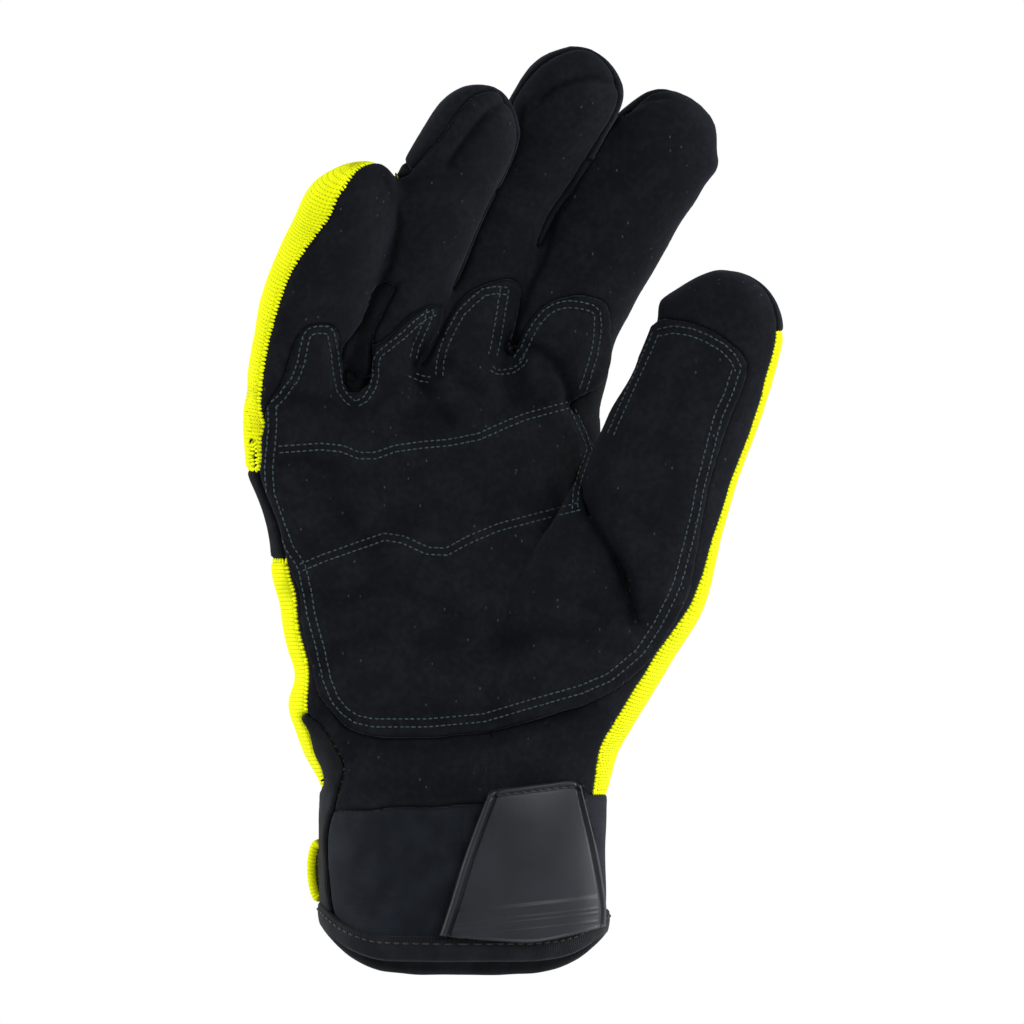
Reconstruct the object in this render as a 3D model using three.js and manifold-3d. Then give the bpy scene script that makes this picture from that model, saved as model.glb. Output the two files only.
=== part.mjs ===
// Right hand work glove, filled as if worn: the palm looks along minus Y and the fingers point up plus Z.
// The origin is the centre of the wrist opening. Millimetres.
import * as THREE from "three";
import Module from "manifold-3d";
import { mergeVertices } from "three/addons/utils/BufferGeometryUtils.js";

const wasm = await Module();
wasm.setup();

// Driving sizes.
const HAND_HEIGHT = 165; // wrist opening to the roots of the fingers
const HAND_WIDTH = 90; // across the palm
const SUEDE_WALL = 2; // palm, backs and finger walls
const CUFF_WALL = 2.6; // neoprene of the cuff
const HEM_WALL = 3.3; // binding folded round the lower edge
const PATCH_WALL = 1.1; // second layer of suede
const BADGE_WALL = 1.6; // rubber tab
const BADGE_RIM = 0.9; // raised edge on the rubber tab
const BADGE_RIM_WIDTH = 1.8; // width of that raised edge
const TAB_WALL = 1.2; // pull tab at the side
const GAP = 0.3; // clearance between neighbouring pieces
const CUFF_TOP = 40.5; // seam of the suede and the neoprene
const CUFF_TOP_SLOPE = 0.06; // that seam rises to the thumb side
const HEM_HEIGHT = 6.5; // height of the bound edge
const RIM_SLOPE = 0.07; // the opening faces a little towards the palm
const RIM_RISE_LEFT = 8.6; // how far its edge rises at the little finger side
const RIM_RISE_RIGHT = 4.6; // how far its edge rises at the thumb side
const RIM_HALF = 0.411 * HAND_WIDTH; // half width of the opening
const RIM_DROP = 2.8; // the edge lies this far below the origin in the middle
const RIM_STEPS = 12; // straight pieces along that edge
const BAND_LOW = 104; // lower seam of the knuckle band
const BAND_HIGH = 128; // upper seam of the knuckle band
const REACH = 400; // half size of the cutting boxes
const BODY_TOP = 154; // top of the palm, between the finger roots
const BODY_LOW = -12; // below the opening, before it is trimmed
const TAB_DEPTH = 9; // pull tab, from the palm side to the back
const TAB_HEIGHT = 17.5; // pull tab, upwards
const TAB_PLACE = { across: -0.444, deep: 0.067, up: 0.137 }; // its middle, in shares of the hand
const TIP_START = { index: 0.8, middle: 0.8, ring: 0.78, thumb: 0.87 }; // share of a finger below its tip
const WALL_START = 0.12; // share of a finger where the walls between fingers begin
const WALL_END = 0.86; // share of a finger where they end
const WALL_ANGLE = 35; // degrees that a wall reaches from the middle of the side to the back
const PATCH_TURN = 0.3; // how far the limit of the patches turns to the thumb side
const FRONT_LIMIT = -10; // place across at which that limit crosses the middle of the hand
const DOME_ROWS = 3; // rows of a round end
const TRIM_START = 0.01; // share of a limb by which a tight sector starts later, for each millimetre of gap
const TRIM_REACH = 1.6; // millimetres by which a tight sector reaches less far, for each millimetre of gap
const SECTOR = { grow: 1, segments: 9 }; // how far cutting sectors reach beyond the skin, and their steps
const BODY_DETAIL = { count: 14, segments: 28 }; // steps along and round the body of the hand
const BODY_SECTOR_DETAIL = { count: 7, segments: 14 }; // the same for its cutting sector
const LINING_DETAIL = { count: 4, segments: 10 }; // steps along and round the inside of a finger

// Turns rows of numbers into records with named columns.
function table(columns, rows) {
  return rows.map((row) => Object.fromEntries(columns.map((column, place) => [column, row[place]])));
}

// Columns of the tables. Places are shares of the hand's height and width, and seams are degrees.
const BODY_COLUMNS = ["height", "left", "right", "front", "back", "turn", "seamLeft", "seamRight"];
const SPINE_COLUMNS = ["across", "deep", "up"];
const LIMB_COLUMNS = ["along", "half", "thick", "turn", "seamLeft", "seamRight"];
const FOLD_COLUMNS = ["fromX", "fromZ", "toX", "toZ", "width", "depth"];
const OUTLINE_COLUMNS = ["across", "up"];

const BODY_ROWS = table(BODY_COLUMNS, [
  [-0.073, -0.400, 0.400, 0.267, 0.267, 0, 200, -25],
  [0.042, -0.411, 0.418, 0.278, 0.278, 0, 200, -25],
  [0.152, -0.420, 0.420, 0.278, 0.267, 0, 200, -25],
  [0.242, -0.413, 0.422, 0.267, 0.244, 0.02, 200, -28],
  [0.285, -0.406, 0.424, 0.250, 0.233, 0.05, 203, -30],
  [0.327, -0.467, 0.429, 0.233, 0.222, 0.08, 206, -30],
  [0.388, -0.507, 0.433, 0.222, 0.211, 0.1, 208, -25],
  [0.455, -0.491, 0.444, 0.217, 0.200, 0.13, 206, -15],
  [0.521, -0.528, 0.444, 0.211, 0.189, 0.16, 207, 0],
  [0.594, -0.563, 0.444, 0.200, 0.183, 0.2, 207, 5],
  [0.667, -0.562, 0.444, 0.189, 0.178, 0.24, 204, 5],
  [0.733, -0.600, 0.433, 0.178, 0.172, 0.28, 201, 5],
  [0.788, -0.633, 0.411, 0.167, 0.167, 0.31, 198, 5],
  [0.855, -0.644, 0.400, 0.156, 0.156, 0.34, 197, 5],
  [0.933, -0.633, 0.400, 0.133, 0.133, 0.36, 197, 5],
]);
const LITTLE_SPINE = table(SPINE_COLUMNS, [
  [-0.456, -0.100, 0.739],
  [-0.473, -0.133, 0.885],
  [-0.461, -0.178, 0.970],
  [-0.424, -0.244, 1.055],
  [-0.350, -0.333, 1.164],
  [-0.313, -0.400, 1.230],
  [-0.300, -0.433, 1.267],
]);
const LITTLE_ROWS = table(LIMB_COLUMNS, [
  [0, 0.144, 0.122, 0.3, 215, -12],
  [0.28, 0.158, 0.128, 0.32, 222, -12],
  [0.45, 0.151, 0.124, 0.34, 226, -12],
  [0.62, 0.153, 0.122, 0.36, 232, -12],
  [0.8, 0.151, 0.118, 0.4, 242, -8],
  [0.92, 0.136, 0.113, 0.45, 256, 0],
  [1, 0.122, 0.107, 0.45, 262, 0],
]);
const RING_SPINE = table(SPINE_COLUMNS, [
  [-0.233, -0.022, 0.727],
  [-0.217, -0.033, 0.897],
  [-0.183, -0.089, 1.030],
  [-0.111, -0.167, 1.139],
  [-0.040, -0.233, 1.236],
  [0.029, -0.283, 1.315],
  [0.078, -0.328, 1.373],
]);
const RING_ROWS = table(LIMB_COLUMNS, [
  [0, 0.133, 0.122, 0.3, 192, -10],
  [0.3, 0.136, 0.118, 0.3, 192, -10],
  [0.5, 0.131, 0.114, 0.32, 194, -10],
  [0.7, 0.140, 0.113, 0.34, 205, -10],
  [0.82, 0.149, 0.116, 0.38, 228, -8],
  [0.92, 0.140, 0.116, 0.4, 246, -4],
  [1, 0.133, 0.116, 0.4, 250, 0],
]);
const MIDDLE_SPINE = table(SPINE_COLUMNS, [
  [0.000, 0.044, 0.727],
  [0.020, 0.044, 0.921],
  [0.058, 0.039, 1.079],
  [0.133, 0.011, 1.200],
  [0.211, -0.022, 1.276],
  [0.289, -0.067, 1.358],
  [0.350, -0.122, 1.439],
]);
const MIDDLE_ROWS = table(LIMB_COLUMNS, [
  [0, 0.133, 0.122, 0.28, 192, -25],
  [0.3, 0.136, 0.120, 0.28, 192, -25],
  [0.5, 0.133, 0.116, 0.28, 192, -25],
  [0.7, 0.140, 0.116, 0.28, 195, -25],
  [0.82, 0.153, 0.118, 0.28, 200, -22],
  [0.92, 0.156, 0.122, 0.26, 205, -15],
  [1, 0.149, 0.122, 0.25, 210, -10],
]);
const INDEX_SPINE = table(SPINE_COLUMNS, [
  [0.200, 0.122, 0.727],
  [0.250, 0.111, 0.909],
  [0.284, 0.106, 1.000],
  [0.364, 0.106, 1.085],
  [0.478, 0.106, 1.200],
  [0.562, 0.100, 1.279],
  [0.622, 0.083, 1.385],
]);
const INDEX_ROWS = table(LIMB_COLUMNS, [
  [0, 0.156, 0.122, 0.26, 192, 8],
  [0.28, 0.158, 0.122, 0.26, 192, 8],
  [0.4, 0.153, 0.120, 0.25, 192, 8],
  [0.52, 0.162, 0.118, 0.22, 195, 8],
  [0.72, 0.164, 0.118, 0.2, 198, 8],
  [0.86, 0.164, 0.120, 0.18, 204, 8],
  [1, 0.151, 0.118, 0.16, 215, 8],
]);
const THUMB_SPINE = table(SPINE_COLUMNS, [
  [0.189, -0.033, 0.255],
  [0.244, -0.056, 0.376],
  [0.372, -0.089, 0.515],
  [0.484, -0.122, 0.630],
  [0.578, -0.144, 0.752],
  [0.660, -0.144, 0.873],
  [0.732, -0.144, 0.970],
  [0.806, -0.156, 1.094],
]);
const THUMB_ROWS = table(LIMB_COLUMNS, [
  [0, 0.222, 0.189, 0.1, 165, -30],
  [0.13, 0.239, 0.200, 0.1, 165, -40],
  [0.32, 0.253, 0.206, 0.08, 165, -38],
  [0.46, 0.240, 0.200, 0.05, 165, -30],
  [0.6, 0.213, 0.189, 0, 165, -24],
  [0.74, 0.198, 0.178, -0.05, 165, -22],
  [0.86, 0.184, 0.167, -0.08, 165, -24],
  [1, 0.178, 0.158, -0.1, 170, -27],
]);

// Soft folds on the palm side: a valley from one point to another, in shares of the hand's width and height.
const FOLDS = table(FOLD_COLUMNS, [
  [-0.60, 0.845, -0.16, 0.848, 0.040, 0.014],
  [-0.16, 0.848, 0.35, 0.885, 0.045, 0.020],
  [-0.48, 0.640, -0.16, 0.690, 0.040, 0.013],
  [-0.16, 0.690, 0.33, 0.735, 0.040, 0.012],
  [0.33, 0.760, 0.50, 0.560, 0.050, 0.026],
  [-0.40, 0.385, 0.30, 0.380, 0.040, 0.020],
  [-0.35, 0.960, -0.33, 0.880, 0.045, 0.030],
  [-0.13, 0.970, -0.11, 0.880, 0.045, 0.030],
  [0.13, 0.980, 0.16, 0.900, 0.045, 0.030],
]);

// Outlines seen from the palm side, in shares of the hand's width and height.
const PALM_PATCH_OUTLINE = table(OUTLINE_COLUMNS, [
  [-0.578, 0.885], [-0.560, 0.925], [-0.525, 0.955], [-0.490, 1.000], [-0.468, 1.010], [-0.395, 1.008],
  [-0.350, 0.965], [-0.325, 0.905], [-0.305, 0.905], [-0.285, 0.955], [-0.230, 0.995], [-0.140, 1.030],
  [-0.055, 1.055], [-0.038, 1.025], [-0.085, 0.925], [-0.050, 0.960], [-0.010, 1.035], [0.060, 1.080],
  [0.165, 1.085], [0.185, 1.050], [0.150, 0.930], [0.190, 0.985], [0.240, 1.030], [0.330, 1.055],
  [0.420, 1.045], [0.428, 1.000], [0.395, 0.900], [0.385, 0.825], [0.352, 0.780], [0.340, 0.745],
  [0.352, 0.715], [0.395, 0.670], [0.455, 0.600], [0.500, 0.535], [0.520, 0.455], [0.470, 0.425],
  [0.390, 0.402], [0.180, 0.368], [0.060, 0.345], [-0.080, 0.335], [-0.240, 0.338], [-0.355, 0.350],
  [-0.410, 0.372], [-0.445, 0.430], [-0.470, 0.520], [-0.500, 0.580], [-0.545, 0.650], [-0.580, 0.720],
  [-0.590, 0.800],
]);
const THUMB_PATCH_OUTLINE = table(OUTLINE_COLUMNS, [
  [0.378, 0.790], [0.410, 0.835], [0.470, 0.915], [0.535, 0.985], [0.570, 1.012], [0.610, 1.035],
  [0.680, 1.025], [0.760, 0.990], [0.800, 0.970], [0.805, 0.920], [0.760, 0.850], [0.740, 0.790],
  [0.720, 0.740], [0.700, 0.670], [0.665, 0.590], [0.615, 0.510], [0.555, 0.440], [0.534, 0.452],
  [0.513, 0.540], [0.466, 0.608], [0.405, 0.680], [0.363, 0.722], [0.352, 0.745], [0.362, 0.772],
]);
const BADGE_OUTLINE = table(OUTLINE_COLUMNS, [
  [0.075, 0.262], [0.120, 0.270], [0.340, 0.277], [0.362, 0.265], [0.392, 0.150], [0.402, 0.082],
  [0.400, 0.066], [0.330, 0.052], [0.100, 0.046], [-0.055, 0.048], [-0.010, 0.120],
]);
const SLIT_OUTLINE = table(OUTLINE_COLUMNS, [
  [-0.475, 0.384], [-0.440, 0.382], [-0.385, 0.355], [-0.345, 0.308], [-0.372, 0.258], [-0.394, 0.215],
  [-0.400, 0.155], [-0.394, 0.115], [-0.385, 0.085], [-0.375, 0.050], [-0.560, 0.050], [-0.560, 0.300],
  [-0.495, 0.340],
]);

// Turns a closed geometry into a solid for joining and cutting.
function solidFrom(geometry) {
  const bare = geometry.clone();
  bare.deleteAttribute("normal");
  bare.deleteAttribute("uv");
  const merged = mergeVertices(bare, 1e-4);
  return new wasm.Manifold(
    new wasm.Mesh({
      numProp: 3,
      vertProperties: new Float32Array(merged.attributes.position.array),
      triVerts: new Uint32Array(merged.index.array),
    }),
  );
}

// The largest body of a solid: booleans can leave slivers beside it.
function mainBody(solid) {
  const bodies = solid.decompose();
  return bodies.reduce((best, piece) => (piece.volume() > best.volume() ? piece : best));
}

// A named mesh of a solid.
function meshFrom(name, solid, material) {
  const mesh = mainBody(solid).getMesh();
  const geometry = new THREE.BufferGeometry();
  geometry.setAttribute("position", new THREE.BufferAttribute(new Float32Array(mesh.vertProperties), 3));
  geometry.setIndex(new THREE.BufferAttribute(new Uint32Array(mesh.triVerts), 1));
  geometry.computeVertexNormals();
  const part = new THREE.Mesh(geometry, material);
  part.name = name;
  return part;
}

// Blends the rows of a table at a value of its first column.
function rowAt(rows, key, value) {
  const last = rows.length - 1;
  const clamped = THREE.MathUtils.clamp(value, rows[0][key], rows[last][key]);
  const next = Math.max(1, rows.findIndex((row) => row[key] >= clamped));
  const low = rows[next - 1];
  const high = rows[next];
  const share = (clamped - low[key]) / (high[key] - low[key]);
  const blended = {};
  for (const column of Object.keys(low)) {
    blended[column] = THREE.MathUtils.lerp(low[column], high[column], share);
  }
  return blended;
}

// Depth of all folds at a point of the palm side.
function foldDepth(x, z) {
  let depth = 0;
  for (const fold of FOLDS) {
    const start = new THREE.Vector2(fold.fromX * HAND_WIDTH, fold.fromZ * HAND_HEIGHT);
    const end = new THREE.Vector2(fold.toX * HAND_WIDTH, fold.toZ * HAND_HEIGHT);
    const along = end.clone().sub(start);
    const point = new THREE.Vector2(x, z).sub(start);
    const share = THREE.MathUtils.clamp(point.dot(along) / along.lengthSq(), 0, 1);
    const away = point.sub(along.multiplyScalar(share)).length() / (fold.width * HAND_WIDTH);
    depth += fold.depth * HAND_WIDTH * Math.exp(-away * away);
  }
  return depth;
}

// The body of the hand: level sections stacked on the Z axis.
const body = {
  dome: 0.052,
  power: 0.86,
  frame(share) {
    const height = THREE.MathUtils.lerp(BODY_LOW, BODY_TOP, share);
    return {
      place: new THREE.Vector3(0, 0, height),
      side: new THREE.Vector3(1, 0, 0),
      back: new THREE.Vector3(0, 1, 0),
      along: new THREE.Vector3(0, 0, 1),
    };
  },
  section(share) {
    const height = THREE.MathUtils.lerp(BODY_LOW, BODY_TOP, share) / HAND_HEIGHT;
    const row = rowAt(BODY_ROWS, "height", height);
    const middle = ((row.left + row.right) / 2) * HAND_WIDTH;
    const half = ((row.right - row.left) / 2) * HAND_WIDTH;
    return { ...row, middle, half, front: row.front * HAND_WIDTH, back: row.back * HAND_WIDTH };
  },
};

// A finger or the thumb: sections square to a curved middle line.
function limb(spineRows, sectionRows, dome) {
  const points = spineRows.map(
    (row) => new THREE.Vector3(row.across * HAND_WIDTH, row.deep * HAND_WIDTH, row.up * HAND_HEIGHT),
  );
  const curve = new THREE.CatmullRomCurve3(points, false, "centripetal");
  return {
    dome,
    power: 1,
    frame(share) {
      const along = curve.getTangentAt(share);
      const side = new THREE.Vector3(0, 1, 0).cross(along).normalize();
      return { place: curve.getPointAt(share), side, back: along.clone().cross(side), along };
    },
    section(share) {
      const row = rowAt(sectionRows, "along", share);
      const thick = row.thick * HAND_WIDTH;
      return { ...row, middle: 0, half: row.half * HAND_WIDTH, front: thick, back: thick };
    },
  };
}

const little = limb(LITTLE_SPINE, LITTLE_ROWS, 0.13);
const ring = limb(RING_SPINE, RING_ROWS, 0.12);
const middle = limb(MIDDLE_SPINE, MIDDLE_ROWS, 0.115);
const index = limb(INDEX_SPINE, INDEX_ROWS, 0.12);
const thumb = limb(THUMB_SPINE, THUMB_ROWS, 0.095);
const fingers = [little, ring, middle, index];
const limbs = [body, ...fingers, thumb];

// Stations from one share of a limb to another: a flat start, then a round end or a flat one.
function stationsOf(part, from, to, count) {
  const round = to === 1;
  const shoulder = round ? 1 - part.dome : to;
  const list = [{ share: from, size: 0, push: 0 }];
  for (let i = 0; i <= count; i += 1) {
    list.push({ share: THREE.MathUtils.lerp(from, shoulder, i / count), size: 1, push: 0 });
  }
  if (round) {
    for (let i = 1; i <= DOME_ROWS; i += 1) {
      const angle = ((Math.PI / 2) * i) / DOME_ROWS;
      const rise = Math.sin(angle);
      list.push({ share: shoulder + part.dome * rise, size: Math.cos(angle), push: rise });
    }
  } else {
    list.push({ share: to, size: 0, push: 0 });
  }
  return list;
}

// One point of a limb's surface, grown outwards and seen from its middle line at an angle.
function surfacePoint(part, station, angle, grow, pull) {
  const { place, side, back, along } = part.frame(station.share);
  const row = part.section(station.share);
  const cos = Math.cos(angle);
  const sin = Math.sin(angle);
  const wide = Math.sign(cos) * Math.abs(cos) ** part.power;
  const deep = Math.sign(sin) * Math.abs(sin) ** part.power;
  const reach = (row.half + grow) * wide * station.size * pull;
  const depth = ((sin > 0 ? row.back : row.front) + grow) * deep * station.size * pull;
  const point = place.clone().addScaledVector(along, station.push * grow);
  point.addScaledVector(side, row.middle + reach);
  point.addScaledVector(back, depth + row.turn * reach);
  if (sin < 0) point.y += foldDepth(point.x, point.z) * -sin * station.size * pull;
  return point;
}

// A closed solid laid on a sphere's rows of vertices: the poles close both ends.
function limbSolid(part, { grow, from = 0, to = 1, count = 5, segments = 14, arc = null, inset = 0 }) {
  const trim = inset * TRIM_START;
  const stations = stationsOf(part, from + trim, to === 1 ? 1 : to - trim, count);
  const reach = grow - inset * TRIM_REACH;
  const geometry = new THREE.SphereGeometry(1, segments, stations.length - 1);
  const position = geometry.attributes.position;
  for (let row = 0; row < stations.length; row += 1) {
    // the sphere's first row of vertices is its top
    const station = stations[stations.length - 1 - row];
    for (let column = 0; column <= segments; column += 1) {
      const turn = (column % segments) / segments;
      let point;
      if (arc) {
        point = sectorPoint(part, station, turn, segments, reach, arc, inset);
      } else {
        point = surfacePoint(part, station, turn * 2 * Math.PI + Math.PI, reach, 1);
      }
      position.setXYZ(row * (segments + 1) + column, point.x, point.y, point.z);
    }
  }
  return solidFrom(geometry);
}

// A point of a sector's outline: its arc takes all steps but the last, which is the middle line.
function sectorPoint(part, station, turn, segments, grow, arc, inset) {
  const row = part.section(station.share);
  const { start, end, lift } = arc(row);
  const trim = inset / row.half;
  const step = Math.round(turn * segments);
  const share = Math.min(step / (segments - 2), 1);
  const first = THREE.MathUtils.degToRad(start) + trim;
  const last = THREE.MathUtils.degToRad(end) - trim;
  const pull = step === segments - 1 ? 0 : 1;
  const point = surfacePoint(part, station, THREE.MathUtils.lerp(first, last, share), grow, pull);
  point.y += inset * lift;
  return point;
}

// The whole hand at a distance from its outer face, as one solid.
function handSolid(grow, limbDetail = {}) {
  const solids = limbs.map((part) => {
    const detail = part === body ? BODY_DETAIL : limbDetail;
    return limbSolid(part, { grow, ...detail });
  });
  return solids.reduce((whole, solid) => whole.add(solid));
}

// A box with one face through a point, on the side that its direction points to.
function halfSpace(point, direction) {
  const geometry = new THREE.BoxGeometry(2 * REACH, 2 * REACH, 2 * REACH);
  geometry.translate(0, 0, REACH);
  const turn = new THREE.Quaternion().setFromUnitVectors(
    new THREE.Vector3(0, 0, 1),
    direction.clone().normalize(),
  );
  geometry.applyQuaternion(turn);
  geometry.translate(point.x, point.y, point.z);
  return solidFrom(geometry);
}

// A flat outline pushed through the hand along Y.
function throughPlate(outline, swell = 0) {
  const points = outline.map((row) => new THREE.Vector2(row.across * HAND_WIDTH, row.up * HAND_HEIGHT));
  const grown = swell ? swollen(points, swell) : points;
  const geometry = new THREE.ExtrudeGeometry(new THREE.Shape(grown), {
    depth: 2 * REACH,
    bevelEnabled: false,
  });
  geometry.rotateX(Math.PI / 2);
  geometry.translate(0, REACH, 0);
  return solidFrom(geometry);
}

// An outline moved outwards by a distance, or inwards where it is negative.
function swollen(points, distance) {
  const sign = THREE.ShapeUtils.area(points) > 0 ? 1 : -1;
  return points.map((point, i) => {
    const before = points[(i + points.length - 1) % points.length];
    const after = points[(i + 1) % points.length];
    const run = after.clone().sub(before).normalize();
    return new THREE.Vector2(point.x + run.y * sign * distance, point.y - run.x * sign * distance);
  });
}

// Everything above a height.
function above(height) {
  return halfSpace(new THREE.Vector3(0, 0, height), new THREE.Vector3(0, 0, 1));
}

// Everything above the wrist opening, whose edge rises at both sides and towards the palm.
function aboveRim(height) {
  const half = HAND_WIDTH;
  const shape = new THREE.Shape();
  shape.moveTo(-half, REACH);
  for (let i = 0; i <= RIM_STEPS; i += 1) {
    const x = THREE.MathUtils.lerp(-half, half, i / RIM_STEPS);
    const rise = (x < 0 ? RIM_RISE_LEFT : RIM_RISE_RIGHT) * Math.min(1, Math.abs(x / RIM_HALF) ** 3);
    shape.lineTo(x, rise + height - RIM_DROP);
  }
  shape.lineTo(half, REACH);
  const geometry = new THREE.ExtrudeGeometry(shape, { depth: 2 * HAND_WIDTH, bevelEnabled: false });
  geometry.rotateX(Math.PI / 2);
  geometry.translate(0, HAND_WIDTH, 0);
  geometry.rotateX(-Math.atan(RIM_SLOPE));
  return solidFrom(geometry);
}

// Everything on the palm side of an upright plane, which can turn to the thumb side.
function frontHalf(turn) {
  return halfSpace(new THREE.Vector3(FRONT_LIMIT, 0, 0), new THREE.Vector3(turn, -1, 0));
}

const paint = (color, roughness) => new THREE.MeshStandardMaterial({ color, roughness, metalness: 0 });
const suedeMaterial = () => paint(0x191b1f, 0.95);
const knitMaterial = () => paint(0xf7ff00, 0.9);
const flexMaterial = () => paint(0x14171c, 0.8);
const neopreneMaterial = () => paint(0x161a21, 0.85);
const bindingMaterial = () => paint(0x101216, 0.7);
const rubberMaterial = () => paint(0x2d3035, 0.45);

// Sectors of a limb: all but the palm side, and the side walls.
const offPalm = (row) => ({ start: row.seamRight, end: row.seamLeft, lift: 1 });
const rightWall = (row) => ({ start: row.seamRight, end: WALL_ANGLE, lift: 0 });
const leftWall = (row) => ({ start: 180 - WALL_ANGLE, end: row.seamLeft, lift: 0 });

function joined(solids) {
  return solids.reduce((whole, solid) => whole.add(solid));
}

// The region away from the palm: a sector of each limb, tight for the pieces in it, loose for the palm.
function offPalmRegion(inset) {
  const sectors = limbs.map((part) => {
    const detail = part === body ? BODY_SECTOR_DETAIL : {};
    return limbSolid(part, { ...SECTOR, ...detail, arc: offPalm, inset });
  });
  return joined(sectors);
}

// Side walls between two fingers: the facing sectors of both.
function sideWalls(pair, inset) {
  const size = { grow: SECTOR.grow - 0.1, count: 3, from: WALL_START, to: WALL_END, segments: 5, inset };
  const left = limbSolid(pair.left, { ...size, arc: rightWall });
  const right = limbSolid(pair.right, { ...size, arc: leftWall });
  return left.add(right);
}

// The far side of a fingertip above a share of its length.
function tipSector(tip, inset) {
  return limbSolid(tip.part, { ...SECTOR, count: 2, from: tip.from, arc: offPalm, inset });
}

const TIPS = [
  { name: "index_tip", part: index, from: TIP_START.index },
  { name: "middle_tip", part: middle, from: TIP_START.middle },
  { name: "ring_tip", part: ring, from: TIP_START.ring },
  { name: "thumb_tip", part: thumb, from: TIP_START.thumb },
];
const PAIRS = [
  { name: "little_ring_side", left: little, right: ring },
  { name: "ring_middle_side", left: ring, right: middle },
  { name: "middle_index_side", left: middle, right: index },
];

const lining = handSolid(-SUEDE_WALL, LINING_DETAIL);
const skin = handSolid(0).subtract(lining);
const cuffSeamDirection = new THREE.Vector3(-CUFF_TOP_SLOPE, 0, 1).normalize();
const aboveCuff = halfSpace(new THREE.Vector3(0, 0, CUFF_TOP + GAP / 2), cuffSeamDirection);
const belowCuff = halfSpace(new THREE.Vector3(0, 0, CUFF_TOP - GAP / 2), cuffSeamDirection.negate());
const upperSkin = skin.intersect(aboveCuff);
const slitHole = throughPlate(SLIT_OUTLINE, GAP).intersect(frontHalf(0));

const loose = offPalmRegion(0);
const tight = offPalmRegion(GAP);
const thumbLoose = limbSolid(thumb, { ...SECTOR, arc: offPalm });
const thumbTight = limbSolid(thumb, { ...SECTOR, arc: offPalm, inset: GAP });
const tipHoles = joined(TIPS.map((tip) => tipSector(tip, 0)));
const sideHoles = joined(PAIRS.map((pair) => sideWalls(pair, 0)));
const backSkin = upperSkin.intersect(tight).subtract(tipHoles).subtract(slitHole);

// The palm side of hand, fingers and thumb.
function palmShell() {
  return upperSkin.subtract(loose).subtract(slitHole);
}

// The back of the fingers and knuckles.
function backUpper() {
  return backSkin.intersect(above(BAND_HIGH + GAP / 2)).subtract(thumbLoose).subtract(sideHoles);
}

// The band across the back, with its end at the little finger side.
function knuckleBand() {
  const slab = above(BAND_LOW + GAP / 2).subtract(above(BAND_HIGH - GAP / 2));
  return backSkin.intersect(slab).subtract(thumbLoose);
}

// The back of the hand and of the thumb.
function backLower() {
  const upper = above(BAND_LOW - GAP / 2).subtract(thumbTight);
  return backSkin.subtract(upper);
}

// The walls of two neighbouring fingers and the bridge between them.
function fingerSide(pair) {
  const walls = upperSkin.intersect(tight).intersect(sideWalls(pair, GAP));
  return walls.subtract(tipHoles).subtract(backUpper());
}

// The cap over the back of a fingertip.
function fingertip(tip) {
  return upperSkin.intersect(tight).intersect(tipSector(tip, GAP));
}

// A layer over the suede inside an outline on the palm side.
function patch(outline, swell) {
  const layer = handSolid(GAP + PATCH_WALL).subtract(handSolid(GAP));
  return layer.intersect(throughPlate(outline, swell)).intersect(frontHalf(PATCH_TURN));
}

// A wall round the wrist and the palm between two distances from their outer face.
function bodyShell(outer, inner) {
  const full = limbSolid(body, { grow: outer, ...BODY_DETAIL });
  return full.subtract(limbSolid(body, { grow: inner, ...BODY_DETAIL }));
}

// The cuff, between the suede and the hem.
function wristCuff() {
  const wall = bodyShell(CUFF_WALL - SUEDE_WALL, -SUEDE_WALL);
  return wall.intersect(belowCuff).intersect(aboveRim(HEM_HEIGHT + GAP)).subtract(slitHole);
}

// The binding round the wrist opening.
function cuffHem() {
  const wall = bodyShell(HEM_WALL - SUEDE_WALL, -SUEDE_WALL);
  return wall.intersect(aboveRim(0)).subtract(aboveRim(HEM_HEIGHT));
}

// The binding of the slit at the little finger side.
function slitBinding() {
  const wall = bodyShell(HEM_WALL - SUEDE_WALL, -SUEDE_WALL);
  const edge = wall.intersect(throughPlate(SLIT_OUTLINE)).intersect(frontHalf(0).translate(0, -GAP, 0));
  return edge.intersect(aboveRim(HEM_HEIGHT + GAP));
}

// The rubber tab on the palm side of the cuff, with a raised rim.
function wristBadge() {
  const seat = CUFF_WALL - SUEDE_WALL + GAP;
  const plate = bodyShell(seat + BADGE_WALL, seat).intersect(throughPlate(BADGE_OUTLINE));
  const rim = bodyShell(seat + BADGE_WALL + BADGE_RIM, seat + BADGE_WALL / 2)
    .intersect(throughPlate(BADGE_OUTLINE))
    .subtract(throughPlate(BADGE_OUTLINE, -BADGE_RIM_WIDTH));
  const seated = plate.add(rim).intersect(frontHalf(0)).subtract(handSolid(GAP));
  return seated.intersect(aboveRim(HEM_HEIGHT + GAP));
}

// The loop at the little finger side of the cuff.
function pullTab() {
  const seat = CUFF_WALL - SUEDE_WALL + GAP;
  const wall = bodyShell(seat + TAB_WALL, seat);
  const geometry = new THREE.BoxGeometry(TAB_DEPTH, TAB_DEPTH, TAB_HEIGHT);
  geometry.translate(TAB_PLACE.across * HAND_WIDTH, TAB_PLACE.deep * HAND_WIDTH, TAB_PLACE.up * HAND_HEIGHT);
  return wall.intersect(solidFrom(geometry));
}

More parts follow.
